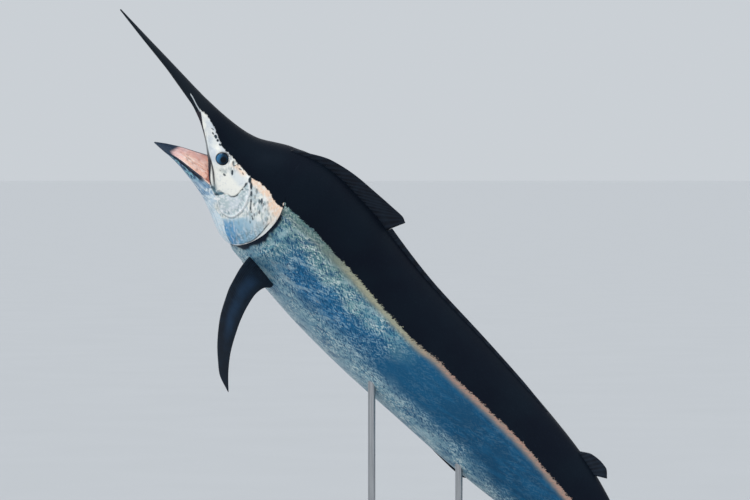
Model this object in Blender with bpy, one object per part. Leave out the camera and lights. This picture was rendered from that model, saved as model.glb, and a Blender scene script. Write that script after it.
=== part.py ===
"""Blue marlin, life size, in a leaping pose with open mouth, held on a plain display stand.

The fish is first described straight: a station s along the body (fraction of LENGTH, 0 just ahead of
the shut jaw and 1 at the fork of the tail), y to its left and z to its back.  place() then bends it.
"""
import math

import bmesh
import bpy
import numpy as np
from mathutils import Matrix, Vector

LENGTH = 3.4            # station 0 to the fork of the tail
GAP = 0.0003            # clearance between neighbouring nodes
HEAD_FRONT = 0.0
MOUTH_CORNER = 0.116
GILL_EDGE = 0.2175      # rearmost station of the gill cover
TORSO_SPLIT = 0.42
TAIL_SPLIT = 0.66
TAIL_END = 0.955

LOWER_POWER = 0.9       # roundness of the cross-section below its widest height; 1 is an ellipse

REF_STATION = 0.45      # this station of the spine stands at REF_PLACE
REF_PLACE = (0.0, 0.0, 2.17)
ROLL = math.radians(25)
# angle of the spine above the horizontal, and its turn to the near side, along the body
SLOPE = [(-0.20, 51), (0.18, 51), (0.30, 48.5), (0.45, 46), (0.60, 45), (0.72, 44.5), (0.85, 46), (1.15, 51)]
TURN = [(-0.20, 24), (0.18, 24), (0.30, 17), (0.45, 8), (0.60, 0), (0.80, -8), (1.15, -17)]

# profile of the body in fractions of LENGTH
BACK = [(-0.168, 0.0065), (-0.112, 0.0092), (-0.066, 0.0128), (-0.031, 0.0152), (0.0, 0.0172), (0.03, 0.0205),
        (0.06, 0.025), (0.092, 0.0325), (0.11, 0.0405), (0.15, 0.0745), (0.19, 0.0965), (0.24, 0.1055),
        (0.30, 0.107), (0.36, 0.102), (0.45, 0.0953), (0.55, 0.093), (0.65, 0.0875), (0.74, 0.079),
        (0.80, 0.0695), (0.86, 0.053), (0.92, 0.0285), (0.955, 0.0225)]
BELLY = [(-0.168, 0.0045), (-0.112, 0.0036), (-0.066, 0.0034), (-0.03, 0.0014), (0.0, -0.003), (0.03, -0.02),
         (0.07, -0.05), (0.09, -0.066), (0.116, -0.0765), (0.135, -0.0785), (0.153, -0.0825), (0.174, -0.0885),
         (0.20, -0.095), (0.24, -0.0955), (0.28, -0.0955), (0.36, -0.0975), (0.45, -0.0957), (0.55, -0.089),
         (0.65, -0.083), (0.74, -0.0735), (0.80, -0.062), (0.86, -0.045), (0.92, -0.0265), (0.955, -0.0225)]
HALF_WIDTH = [(-0.168, 0.001), (-0.112, 0.005), (-0.066, 0.0072), (-0.03, 0.0095), (0.0, 0.013), (0.03, 0.0185),
              (0.06, 0.0252), (0.09, 0.033), (0.12, 0.04), (0.16, 0.048), (0.20, 0.0545), (0.25, 0.058),
              (0.32, 0.06), (0.40, 0.059), (0.50, 0.056), (0.60, 0.051), (0.70, 0.043), (0.80, 0.032),
              (0.86, 0.024), (0.92, 0.016), (0.955, 0.0135)]
WIDEST = [(-0.168, 0.0055), (-0.112, 0.0075), (-0.066, 0.0085), (-0.03, 0.008), (0.0, 0.005), (0.03, -0.002),
          (0.06, -0.009), (0.10, -0.0145), (0.15, -0.012), (0.20, -0.006), (0.30, 0.0), (0.80, 0.002),
          (0.955, 0.0)]
UPPER_LIP = [(-0.168, 0.0045), (-0.112, 0.0036), (-0.066, 0.0034), (-0.03, 0.003), (0.0, 0.004),
             (0.023, 0.0008), (0.052, -0.0085), (0.0845, -0.025), (0.105, -0.0385), (0.116, -0.044)]
JAW_RIM = [(0.0324, -0.086), (0.05, -0.0765), (0.0655, -0.067), (0.0856, -0.058), (0.116, -0.0448)]
JAW_BOTTOM = [(0.0324, -0.0872), (0.0436, -0.084), (0.0626, -0.0795), (0.0851, -0.077), (0.116, -0.0765)]
JAW_WIDTH = [(0.0324, 0.001), (0.038, 0.0045), (0.045, 0.0082), (0.0655, 0.016), (0.0856, 0.0235),
             (0.116, 0.0353)]
# rear edge of the gill cover: angle from the back in degrees, station
GILL_LINE = [(0, 0.16), (30, 0.163), (55, 0.176), (71, 0.195), (81, 0.205), (90, 0.211), (102, 0.2155),
             (118, 0.2175), (131, 0.217), (150, 0.212), (165, 0.204), (180, 0.2)]
GILL_HUB = 0.2          # where the middle of the parting behind the head lies
GILL_STEP = 0.0055      # how far the body is sunk behind the gill cover
GILL_FADE = 0.024       # length over which the body rises again behind it
SUNK_FROM = 60          # angle from the back, in degrees, at which the sinking starts
SUNK_SPAN = 20
WARP_START = 0.13
WARP_END = 0.32

AROUND = 32             # columns round the body
BILL_ROWS = [-0.168, -0.164, -0.15, -0.125, -0.1, -0.075, -0.05, -0.025, 0.0]
HEAD_ROWS = [0.0, 0.018, 0.034, 0.05, 0.066, 0.08, 0.093, 0.105, 0.116]
CHEEK_ROWS = [0.116, 0.13, 0.145, 0.16, 0.175, 0.19, 0.203, 0.2175]
FRONT_ROWS = [0.2175, 0.2225, 0.23, 0.24, 0.26, 0.28, 0.30, 0.32, 0.345, 0.37, 0.395, 0.42]
MIDDLE_ROWS = [0.42, 0.45, 0.48, 0.51, 0.54, 0.57, 0.60, 0.63, 0.66]
TAIL_ROWS = [0.66, 0.685, 0.71, 0.735, 0.76, 0.785, 0.81, 0.835, 0.86, 0.88, 0.90, 0.92, 0.94, 0.955]

EYE_STATION = 0.0905
EYE_HEIGHT = -0.0045
EYE_RADIUS = 0.0105
EYE_DEPTH = 0.006       # half thickness of the flattened eyeball
EYE_SINK = 0.0026       # its centre lies this far under the skin
EYE_RIM = 0.0011        # width of the raised rim round the eyeball
RIM_FLATTER = 0.0015    # the rim's half thickness is this much less than the eyeball's
NOSTRILS = ((0.0605, 0.0065), (0.0665, 0.005))
NOSTRIL_RADIUS = 0.0045
# raised lines of the head: station and height, and their radius in metres
LIP_STATIONS = (0.03, 0.112)
LIP_BEAD = 0.0055
LIP_RAISE = 0.0012
CREST_BEAD = 0.0045
MAXILLA = [(0.045, 0.0), (0.06, -0.0095), (0.075, -0.0165), (0.088, -0.0215), (0.1, -0.027), (0.112, -0.034),
           (0.124, -0.0415), (0.131, -0.0475)]
PREOPERCLE = [(0.138, 0.012), (0.148, 0.002), (0.158, -0.01), (0.165, -0.022), (0.169, -0.034),
              (0.168, -0.045), (0.162, -0.053), (0.152, -0.056), (0.14, -0.055)]
PALATE_ARCH = 0.006
PALATE_RISE = 0.08      # station at which the palate has its full arch
JAW_ROWS = [0.0324, 0.035, 0.04, 0.048, 0.058, 0.07, 0.082, 0.094, 0.106]
JAW_FLOOR_SHARE = 0.84  # width of the jaw's hollow floor as a share of the jaw's width
JAW_HOLLOW = 0.45       # depth of the floor as a share of the jaw's height

EDGE = 0.0012           # thickness of fins at free edges, in metres
RAY = 0.0016            # how far a ray stands out on each face

# left pectoral fin: distance out from the root and aft of its middle, in fractions of LENGTH
PECTORAL_ROOT = (0.265, 0.044, -0.066)
PECTORAL_DROOP = math.radians(12.5)
PECTORAL_BOW = 0.126    # how far it bends down towards its tip
PECTORAL_THICK = 0.016
PECTORAL_LEAD = [(-0.012, -0.024), (0.013, -0.029), (0.039, -0.0315), (0.071, -0.032), (0.099, -0.029),
                 (0.127, -0.024), (0.151, -0.016), (0.173, -0.006), (0.192, 0.006), (0.21, 0.021),
                 (0.219, 0.043)]
PECTORAL_TRAIL = [(-0.012, 0.03), (0.006, 0.028), (0.018, 0.019), (0.03, 0.0135), (0.052, 0.0085),
                  (0.081, 0.007), (0.103, 0.0078), (0.132, 0.0115), (0.16, 0.017), (0.191, 0.0285),
                  (0.219, 0.0445)]
# unpaired fins: station and height, from the front of the fin to its rear
FIRST_DORSAL_BASE = [(0.143, 0.065), (0.17, 0.08), (0.2, 0.09), (0.23, 0.097), (0.26, 0.1), (0.29, 0.101),
                     (0.335, 0.099)]
FIRST_DORSAL_CREST = [(0.146, 0.0745), (0.19, 0.1105), (0.235, 0.1245), (0.275, 0.13), (0.31, 0.134),
                      (0.332, 0.136), (0.3445, 0.1325)]
REAR_DORSAL_BASE = [(0.336, 0.099), (0.36, 0.097), (0.45, 0.0905), (0.55, 0.088), (0.65, 0.0825), (0.70, 0.078)]
REAR_DORSAL_CREST = [(0.3395, 0.1115), (0.365, 0.1085), (0.455, 0.1), (0.555, 0.0968), (0.655, 0.0905),
                     (0.705, 0.0838)]
SECOND_DORSAL_BASE = [(0.776, 0.068), (0.786, 0.066), (0.796, 0.064), (0.806, 0.062), (0.812, 0.061)]
SECOND_DORSAL_CREST = [(0.779, 0.0758), (0.7945, 0.0855), (0.809, 0.0875), (0.8215, 0.086), (0.8335, 0.0755)]
FIRST_ANAL_BASE = [(0.598, -0.08), (0.615, -0.079), (0.635, -0.078), (0.655, -0.077), (0.672, -0.075)]
FIRST_ANAL_CREST = [(0.602, -0.0862), (0.632, -0.0895), (0.66, -0.0893), (0.684, -0.0866), (0.69, -0.081)]
SECOND_ANAL_BASE = [(0.782, -0.06), (0.792, -0.058), (0.802, -0.056), (0.812, -0.054), (0.818, -0.053)]
SECOND_ANAL_CREST = [(0.786, -0.0675), (0.8015, -0.078), (0.816, -0.0795), (0.828, -0.0765), (0.839, -0.066)]
# upper lobe of the tail fin; the lower one is its mirror image
LOBE_LEAD = [(0.0, 0.0), (0.0, 0.0115), (0.0, 0.0225), (0.0135, 0.043), (0.037, 0.073), (0.066, 0.105),
             (0.098, 0.138), (0.13, 0.167), (0.155, 0.188)]
LOBE_TRAIL = [(0.045, 0.0), (0.0455, 0.012), (0.0475, 0.0235), (0.056, 0.045), (0.0705, 0.073),
              (0.092, 0.104), (0.1165, 0.136), (0.139, 0.164), (0.157, 0.189)]
KEEL_STATIONS = (0.912, 0.951)
KEEL_HEIGHT = 0.0095
KEEL_ROOT = 0.82        # the keels' middle line as a share of the half width
KEEL_REACH = 0.0062
KEEL_HALF = 0.0011
PELVIC_STATIONS = (0.252, 0.365)
PELVIC_RADIUS = 0.0024
PELVIC_ASIDE = 0.0115   # distance from the middle line at the root
PELVIC_INWARD = 0.004   # how much nearer the tip lies
LOBE_THICK = 0.012
FORK_NEAR = 0.06        # the tail fin takes up the tail stock's thickness up to this far from its root
# unpaired fins: base, crest, rows along them and thickness at the root
MEDIAN_FINS = {
    "dorsal_fin_first": (FIRST_DORSAL_BASE, FIRST_DORSAL_CREST, 25, 0.014),
    "dorsal_fin_rear": (REAR_DORSAL_BASE, REAR_DORSAL_CREST, 25, 0.012),
    "dorsal_fin_second": (SECOND_DORSAL_BASE, SECOND_DORSAL_CREST, 13, 0.01),
    "anal_fin_first": (FIRST_ANAL_BASE, FIRST_ANAL_CREST, 17, 0.012),
    "anal_fin_second": (SECOND_ANAL_BASE, SECOND_ANAL_CREST, 13, 0.01)}

BASE_SIZE = (1.7, 0.9, 0.045)
BASE_CHAMFER = 0.006
ROD_RADIUS = 0.018
ROD_STATIONS = {"stand_rod_front": 0.42, "stand_rod_rear": 0.6}

COLORS = {
    "navy": (0.016, 0.022, 0.045), "silver": (0.55, 0.62, 0.66), "blue": (0.10, 0.22, 0.33),
    "cream": (0.68, 0.69, 0.66), "eye": (0.012, 0.018, 0.04), "stand": (0.055, 0.055, 0.06),
    "steel": (0.55, 0.55, 0.56), "jaw": (0.16, 0.26, 0.34)}
SKIN_ROUGH = 0.35
FIN_ROUGH = 0.45


def curve(table):
    """Smooth curve without overshoot through rows of (place, value)."""
    x, y = np.array(table, float).T
    step = np.diff(x)
    rise = np.diff(y) / step
    tilt = np.zeros_like(x)
    for i in range(1, len(x) - 1):
        if rise[i - 1] * rise[i] > 0:
            a, b = 2 * step[i] + step[i - 1], step[i] + 2 * step[i - 1]
            tilt[i] = (a + b) / (a / rise[i - 1] + b / rise[i])
    tilt[0], tilt[-1] = rise[0], rise[-1]

    def at(v):
        v = np.asarray(v, float)
        i = np.clip(np.searchsorted(x, v) - 1, 0, len(x) - 2)
        t = np.clip((v - x[i]) / step[i], 0, 1)
        start = (2 * t**3 - 3 * t**2 + 1) * y[i] + (t**3 - 2 * t**2 + t) * step[i] * tilt[i]
        return start + (3 * t**2 - 2 * t**3) * y[i + 1] + (t**3 - t**2) * step[i] * tilt[i + 1]
    return at


back, belly, half_width, widest = curve(BACK), curve(BELLY), curve(HALF_WIDTH), curve(WIDEST)
upper_lip, jaw_rim, jaw_bottom, jaw_width = curve(UPPER_LIP), curve(JAW_RIM), curve(JAW_BOTTOM), curve(JAW_WIDTH)
gill_line, slope, turn = curve(GILL_LINE), curve(SLOPE), curve(TURN)


def axes(s):
    """Directions to the front, the left and the back of the fish at stations s."""
    a, b = np.radians(slope(s)), np.radians(turn(s))
    front = np.stack([-np.cos(a) * np.cos(b), -np.sin(b), np.sin(a) * np.cos(b)], -1)
    near = np.array([0.0, -1.0, 0.0])
    left = near - (front @ near)[..., None] * front
    left /= np.linalg.norm(left, axis=-1, keepdims=True)
    up = np.cross(front, left)
    return (front, math.cos(ROLL) * left - math.sin(ROLL) * up,
            math.cos(ROLL) * up + math.sin(ROLL) * left)


SPINE_S = np.linspace(-0.22, 1.2, 569)


def spine_points():
    front = axes(SPINE_S)[0]
    leg = -(front[1:] + front[:-1]) / 2 * np.diff(SPINE_S)[:, None] * LENGTH
    path = np.vstack([np.zeros(3), np.cumsum(leg, axis=0)])
    here = [np.interp(REF_STATION, SPINE_S, path[:, k]) for k in range(3)]
    return path - here + np.array(REF_PLACE)


SPINE = spine_points()


def place(s, y, z):
    """World places of points of the straight fish."""
    s, y, z = np.broadcast_arrays(*(np.asarray(v, float) for v in (s, y, z)))
    _, left, up = axes(s)
    spine = np.stack([np.interp(s, SPINE_S, SPINE[:, k]) for k in range(3)], -1)
    return spine + (left * y[..., None] + up * z[..., None]) * LENGTH


ANGLES = np.arange(AROUND) * 2 * math.pi / AROUND
FOLDED = np.degrees(np.minimum(ANGLES, 2 * math.pi - ANGLES))


def warped(s):
    """Stations of one row, drawn forward near the gill cover to follow its edge."""
    ahead = (s - WARP_START) / (GILL_EDGE - WARP_START)
    behind = (WARP_END - s) / (WARP_END - GILL_EDGE)
    pull = min(max(min(ahead, behind), 0.0), 1.0)
    return s + pull * (gill_line(FOLDED) - GILL_EDGE)


def outline(s, grow=0.0, shut=True):
    """Heights and side offsets of a row of the body; grow moves it outward, in metres."""
    more = grow / LENGTH
    high, low, wide, mid = back(s) + more, belly(s) - more, half_width(s) + more, widest(s)
    c, q = np.cos(ANGLES), np.sin(ANGLES)
    z = np.where(c > 0, mid + (high - mid) * c, mid + (mid - low) * c)
    y = wide * np.sign(q) * np.abs(q) ** np.where(c > 0, 1.0, LOWER_POWER)
    if not shut:
        z = np.maximum(z, upper_lip(s) - more)
    return y, z


def body_row(s, grow=0.0, shut=True):
    at = warped(s)
    y, z = outline(at, grow, shut)
    return place(at, y, z)


def sunk_row(s, hub=None):
    """A row behind the gill cover, sunk below the cover's edge and rising again."""
    at = warped(s)
    y, z = outline(at)
    side = np.clip((FOLDED - SUNK_FROM) / SUNK_SPAN, 0, 1)
    fade = np.clip(1 - (at - gill_line(FOLDED)) / GILL_FADE, 0, 1) ** 0.7
    ratio = 1 - GILL_STEP * side * fade / np.hypot(y, z)
    if hub is not None:
        return hub + (place(at, y, z) - hub) * ratio[:, None]
    mid = widest(at)
    return place(at, y * ratio, mid + (z - mid) * ratio)


def material(slot, color, rough, metal=0.0):
    mat = bpy.data.materials.new(slot)
    mat.use_nodes = True
    shader = mat.node_tree.nodes["Principled BSDF"]
    shader.inputs["Base Color"].default_value = (*COLORS[color], 1)
    shader.inputs["Roughness"].default_value = rough
    shader.inputs["Metallic"].default_value = metal
    return mat


def mesh_object(name, verts, faces, smooth=True):
    """Closed object with outward faces; points that coincide are joined."""
    mesh = bpy.data.meshes.new(name)
    mesh.from_pydata([tuple(v) for v in verts], [], faces)
    obj = bpy.data.objects.new(name, mesh)
    bpy.context.scene.collection.objects.link(obj)
    clean(obj)
    for poly in obj.data.polygons:
        poly.use_smooth = smooth
    return obj


def clean(obj, join=1e-6):
    bm = bmesh.new()
    bm.from_mesh(obj.data)
    bmesh.ops.remove_doubles(bm, verts=bm.verts, dist=join)
    bmesh.ops.dissolve_degenerate(bm, edges=bm.edges, dist=join)
    bmesh.ops.triangulate(bm, faces=[f for f in bm.faces if len(f.verts) > 3])
    bmesh.ops.recalc_face_normals(bm, faces=bm.faces)
    if bm.calc_volume(signed=True) < 0:
        bmesh.ops.reverse_faces(bm, faces=bm.faces)
    bm.to_mesh(obj.data)
    bm.free()


def lofted(name, rows, front_hub=None, rear_hub=None):
    """Closed loft through rows of points, with a fan over each end."""
    count = len(rows[0])
    verts = [p for row in rows for p in row]
    faces = []
    for i in range(len(rows) - 1):
        for j in range(count):
            k = (j + 1) % count
            a, b, c, d = i * count + j, i * count + k, (i + 1) * count + k, (i + 1) * count + j
            faces += [(a, b, c), (a, c, d)]
    for row, hub in ((0, front_hub), (len(rows) - 1, rear_hub)):
        middle = len(verts)
        verts.append(np.mean(rows[row], axis=0) if hub is None else hub)
        faces += [(row * count + j, row * count + (j + 1) % count, middle) for j in range(count)]
    return mesh_object(name, verts, faces)


def keep_largest(obj):
    """Keep the largest closed piece of an object."""
    bm = bmesh.new()
    bm.from_mesh(obj.data)
    left, pieces = set(bm.faces), []
    while left:
        seed = left.pop()
        piece, todo = {seed}, [seed]
        while todo:
            for edge in todo.pop().edges:
                for face in edge.link_faces:
                    if face in left:
                        left.discard(face)
                        piece.add(face)
                        todo.append(face)
        pieces.append(piece)
    best = max(pieces, key=lambda piece: sum(f.calc_area() for f in piece))
    drop = [f for piece in pieces if piece is not best for f in piece]
    bmesh.ops.delete(bm, geom=drop, context="FACES")
    bmesh.ops.delete(bm, geom=[v for v in bm.verts if not v.link_faces], context="VERTS")
    bm.to_mesh(obj.data)
    bm.free()


def apply_boolean(obj, operation, other=None, collection=None):
    mod = obj.modifiers.new(operation.lower(), "BOOLEAN")
    mod.operation = operation
    mod.solver = "EXACT"
    if collection is None:
        mod.object = other
    else:
        mod.operand_type = "COLLECTION"
        mod.collection = collection
    graph = bpy.context.evaluated_depsgraph_get()
    mesh = bpy.data.meshes.new_from_object(obj.evaluated_get(graph))
    obj.modifiers.clear()
    obj.data = mesh
    keep_largest(obj)
    clean(obj)


def cut(obj, cutter, keep=False):
    """Take a cutter out of an object."""
    cutter.hide_render = True
    cutter.display_type = "WIRE"
    apply_boolean(obj, "DIFFERENCE", other=cutter)
    if not keep:
        bpy.data.objects.remove(cutter)


def joined(obj, pieces):
    """Union of an object with further pieces of the same node."""
    group = bpy.data.collections.new("pieces")
    bpy.context.scene.collection.children.link(group)
    for piece in pieces:
        group.objects.link(piece)
    apply_boolean(obj, "UNION", collection=group)
    for piece in pieces:
        bpy.data.objects.remove(piece)
    bpy.data.collections.remove(group)


def body_hull(name, grow):
    """Whole trunk and upper head grown by a clearance, to cut what rests on it."""
    rows = [body_row(s, grow, shut=False) for s in BILL_ROWS + HEAD_ROWS[1:]]
    rows += [body_row(s, grow) for s in CHEEK_ROWS]
    rows += [body_row(s, grow) for s in FRONT_ROWS[1:] + MIDDLE_ROWS[1:] + TAIL_ROWS[1:]]
    return lofted(name, rows)


def bill():
    return lofted("bill", [body_row(s, shut=False) for s in BILL_ROWS])


def skin_side(s, z):
    """Side offset of the skin at a station and height."""
    c = np.where(z > widest(s), (z - widest(s)) / (back(s) - widest(s)), (z - widest(s)) / (widest(s) - belly(s)))
    q = np.sqrt(np.clip(1 - c**2, 0, 1))
    return half_width(s) * q ** np.where(z > widest(s), 1.0, LOWER_POWER)


def strip(name, stations, heights, radius, side, sides=6):
    """Slim raised line on the skin, along stations and heights; side is +1 left or -1 right."""
    stations, heights = np.asarray(stations, float), np.asarray(heights, float)
    path = place(stations, side * skin_side(stations, heights), heights)
    run = np.gradient(path, axis=0)
    run /= np.linalg.norm(run, axis=1, keepdims=True)
    _, left, up = axes(stations)
    out = side * left
    across = np.cross(run, out)
    across /= np.linalg.norm(across, axis=1, keepdims=True)
    out = np.cross(across, run)
    size = radius * np.sin(np.linspace(0.25, math.pi - 0.25, len(path))) ** 0.5
    rows = []
    for k in range(len(path)):
        turn_ = np.arange(sides) * 2 * math.pi / sides
        ring = np.cos(turn_)[:, None] * across[k] + np.sin(turn_)[:, None] * out[k]
        rows.append(path[k] + ring * size[k])
    return lofted(name, rows)


def ball(name, side, in_plane, depth, sink, segments=24, rings=12):
    """Flattened ball set in the side of the head at the eye."""
    s, z = EYE_STATION, EYE_HEIGHT
    y = side * skin_side(s, z)
    step = 0.004
    along = place(s + step, side * skin_side(s + step, z), z) - place(s - step, side * skin_side(s - step, z), z)
    over = place(s, side * skin_side(s, z + step), z + step) - place(s, side * skin_side(s, z - step), z - step)
    along, over = Vector(along).normalized(), Vector(over)
    out = along.cross(over).normalized()
    if out.dot(Vector(axes(np.array(s))[1])) * side < 0:
        out = -out
    over = out.cross(along)
    centre = Vector(place(s, y, z)) - out * sink
    mesh = bpy.data.meshes.new(name)
    bm = bmesh.new()
    bmesh.ops.create_uvsphere(bm, u_segments=segments, v_segments=rings, radius=1.0)
    frame = Matrix((along * in_plane, over * in_plane, out * depth)).transposed().to_4x4()
    bmesh.ops.transform(bm, matrix=Matrix.Translation(centre) @ frame, verts=bm.verts)
    bm.to_mesh(mesh)
    bm.free()
    obj = bpy.data.objects.new(name, mesh)
    bpy.context.scene.collection.objects.link(obj)
    clean(obj)
    for poly in obj.data.polygons:
        poly.use_smooth = True
    return obj


def eye(name, side):
    return ball(name, side, EYE_RADIUS * LENGTH, EYE_DEPTH * LENGTH, EYE_SINK * LENGTH)


def palate_row(s):
    """A row of the upper jaw, with an arched palate."""
    y, z = outline(s, shut=False)
    lip = upper_lip(s)
    edge = np.abs(y[z <= lip + 1e-9]).max() if np.any(z <= lip + 1e-9) else 1.0
    arch = PALATE_ARCH * np.clip(s / PALATE_RISE, 0, 1) * np.clip(1 - (y / edge) ** 2, 0, 1)
    z = np.where(z <= lip + 1e-9, z + arch, z)
    return place(s, y, z)


def head():
    """Upper jaw, cheeks and gill covers, up to the parting along the gill covers' edge."""
    rows = [body_row(HEAD_FRONT + GAP / LENGTH, shut=False)]
    rows += [palate_row(s) for s in HEAD_ROWS[1:]]
    rows += [body_row(s) for s in CHEEK_ROWS]
    obj = lofted("head", rows, rear_hub=place(GILL_HUB, 0, 0))
    pieces, cutters = [], []
    for side in (1, -1):
        tag = "left" if side > 0 else "right"
        s = np.linspace(*LIP_STATIONS, 12)
        pieces.append(strip("lip_" + tag, s, upper_lip(s) + LIP_RAISE, LIP_BEAD, side))
        pieces.append(strip("maxilla_" + tag, *zip(*MAXILLA), CREST_BEAD, side))
        pieces.append(strip("preopercle_" + tag, *zip(*PREOPERCLE), CREST_BEAD, side))
        pieces.append(ball("rim_" + tag, side, (EYE_RADIUS + EYE_RIM) * LENGTH, (EYE_DEPTH - RIM_FLATTER) * LENGTH,
                           EYE_SINK * LENGTH, 28, 10))
        cutters.append(ball("socket_" + tag, side, EYE_RADIUS * LENGTH + GAP, EYE_DEPTH * LENGTH + GAP,
                            EYE_SINK * LENGTH))
        for s, z in NOSTRILS:
            pit = strip("nostril_" + tag, [s - 0.001, s, s + 0.001], [z, z, z], NOSTRIL_RADIUS, side)
            cutters.append(pit)
    joined(obj, pieces)
    for cutter in cutters:
        cut(obj, cutter)
    return obj


def lower_jaw():
    """Opened lower jaw with a hollow floor between its rims."""
    last = MOUTH_CORNER - GAP / LENGTH
    mid, low, rim = widest(last), belly(last), jaw_rim(last)
    first_angle = math.acos((rim - mid) / (mid - low))
    under = math.pi + np.linspace(-1, 1, 15) * (math.pi - first_angle)
    rows = []
    for s in JAW_ROWS + [last]:
        high, deep, wide = jaw_rim(s), jaw_bottom(s), jaw_width(s)
        share = (np.cos(under) - math.cos(first_angle)) / (-1 - math.cos(first_angle))
        y = wide * np.sign(np.sin(under)) * (np.abs(np.sin(under)) / math.sin(first_angle)) ** LOWER_POWER
        z = high + (deep - high) * share
        across = np.linspace(-1, 1, 9)
        floor_y = across * JAW_FLOOR_SHARE * wide
        floor_z = high + 0.0003 - JAW_HOLLOW * (high - deep) * (1 - across**4)
        rows.append(place(s, np.concatenate([y, floor_y]), np.concatenate([z, floor_z])))
    return lofted("lower_jaw", rows)


def torso_front():
    hub = place(GILL_HUB, 0, 0)
    aft = -axes(np.array(GILL_HUB))[0] * GAP
    rows = [sunk_row(GILL_EDGE, hub) + aft]
    rows += [sunk_row(s) for s in FRONT_ROWS[1:]]
    return lofted("torso_front", rows, front_hub=hub + aft)


def torso_middle():
    rows = [body_row(TORSO_SPLIT + GAP / LENGTH)] + [body_row(s) for s in MIDDLE_ROWS[1:]]
    return lofted("torso_middle", rows)


def keel(name, side, height):
    """Flat keel on the side of the narrow tail stock."""
    first, last = KEEL_STATIONS
    s = np.linspace(first, last, 8)
    spread = np.linspace(0, 2 * math.pi, 9)[:-1]
    rows = []
    for k, at in enumerate(s):
        grow = math.sin(math.pi * (0.06 + 0.9 * k / (len(s) - 1)))
        y = side * (half_width(at) * KEEL_ROOT + KEEL_REACH * grow * np.cos(spread))
        rows.append(place(at, y, height + KEEL_HALF * grow * np.sin(spread)))
    return lofted(name, rows)


def tail_stock():
    rows = [body_row(TAIL_SPLIT + GAP / LENGTH)] + [body_row(s) for s in TAIL_ROWS[1:]]
    obj = lofted("tail_stock", rows)
    pieces = [keel("keel", side, height) for side in (1, -1) for height in (KEEL_HEIGHT, -KEEL_HEIGHT)]
    joined(obj, pieces)
    return obj


def matched(first, second, count):
    """Points along two edges of a fin, paired through the rows of their tables."""
    rows = np.linspace(0, len(first) - 1, count)
    index = np.arange(len(first))
    return [np.stack([curve(np.stack([index, np.asarray(edge, float)[:, k]], -1))(rows) for k in range(2)], -1)
            for edge in (first, second)]


def blade(name, edge_a, edge_b, half, to_world):
    """Thin fin between two edges; half[i, j] is its half thickness, both faces alike."""
    rows, columns = half.shape
    t = np.linspace(0, 1, columns)[None, :, None]
    flat = edge_a[:, None, :] * (1 - t) + edge_b[:, None, :] * t
    upper = to_world(flat[..., 0], flat[..., 1], half).reshape(-1, 3)
    lower = to_world(flat[..., 0], flat[..., 1], -half).reshape(-1, 3)
    verts = np.vstack([upper, lower])
    under = rows * columns
    faces = []
    for i in range(rows - 1):
        for j in range(columns - 1):
            a, b = i * columns + j, i * columns + j + 1
            c, d = b + columns, a + columns
            faces += [(a, b, c), (a, c, d)]
            faces += [(under + b, under + a, under + c), (under + c, under + a, under + d)]
    rim = [j for j in range(columns)] + [i * columns + columns - 1 for i in range(1, rows)]
    rim += [(rows - 1) * columns + j for j in range(columns - 2, -1, -1)]
    rim += [i * columns for i in range(rows - 2, 0, -1)]
    for k, a in enumerate(rim):
        b = rim[(k + 1) % len(rim)]
        faces += [(a, under + a, b), (b, under + a, under + b)]
    return mesh_object(name, verts, faces)


def ray_pattern(rows, columns, along_rows, root, tip):
    """Half thickness of a fin with a raised ray on every second line."""
    u = np.linspace(0, 1, rows)[:, None]
    v = np.linspace(0, 1, columns)[None, :]
    if along_rows:
        lengthwise, number = v + 0 * u, np.arange(rows)[:, None] + 0 * np.arange(columns)[None, :]
        inner = (np.arange(rows) > 0) & (np.arange(rows) < rows - 1)
        inner = inner[:, None]
    else:
        lengthwise, number = u + 0 * v, np.arange(columns)[None, :] + 0 * np.arange(rows)[:, None]
        inner = (np.arange(columns) > 0) & (np.arange(columns) < columns - 1)
        inner = inner[None, :]
    base = root / 2 * (1 - lengthwise) ** 0.8 + tip / 2
    ray = RAY * (1 - 0.75 * lengthwise) * (number % 2 == 1) * inner
    return base + ray


def pectoral_world(side):
    """Function from the pectoral fin's own plane to the world."""
    s, y, z = PECTORAL_ROOT
    front, left, up = axes(np.array(s))
    out = math.cos(PECTORAL_DROOP) * side * left - math.sin(PECTORAL_DROOP) * up
    face = np.cross(out, -front)
    root = place(s, side * y, z)

    def to_world(u, v, w):
        u, v, w = (np.asarray(k, float)[..., None] for k in (u, v, w))
        bow = -PECTORAL_BOW * np.clip(u, 0, 1) ** 2
        return root + (u * out - v * front + bow * up) * LENGTH + w * face
    return to_world


def pectoral(name, side, hull):
    lead, trail = matched(PECTORAL_LEAD, PECTORAL_TRAIL, 13)
    half = ray_pattern(13, 19, False, PECTORAL_THICK, EDGE)
    edge = np.linspace(0, 1, 19)[None, :]
    half = half * (0.35 + 0.65 * np.sin(math.pi * (0.08 + 0.9 * edge**0.75))) + EDGE / 4
    obj = blade(name, lead, trail, half, pectoral_world(side))
    cut(obj, hull, keep=True)
    return obj


def median_world(s, z, w):
    return place(s, np.asarray(w) / LENGTH, z)


def median_fin(name, base, crest, rows, root, hull):
    """Fin on the middle line: rays run from its base to its crest."""
    low, high = matched(base, crest, rows)
    obj = blade(name, low, high, ray_pattern(rows, 6, True, root, EDGE * 2), median_world)
    cut(obj, hull, keep=True)
    return obj


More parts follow.
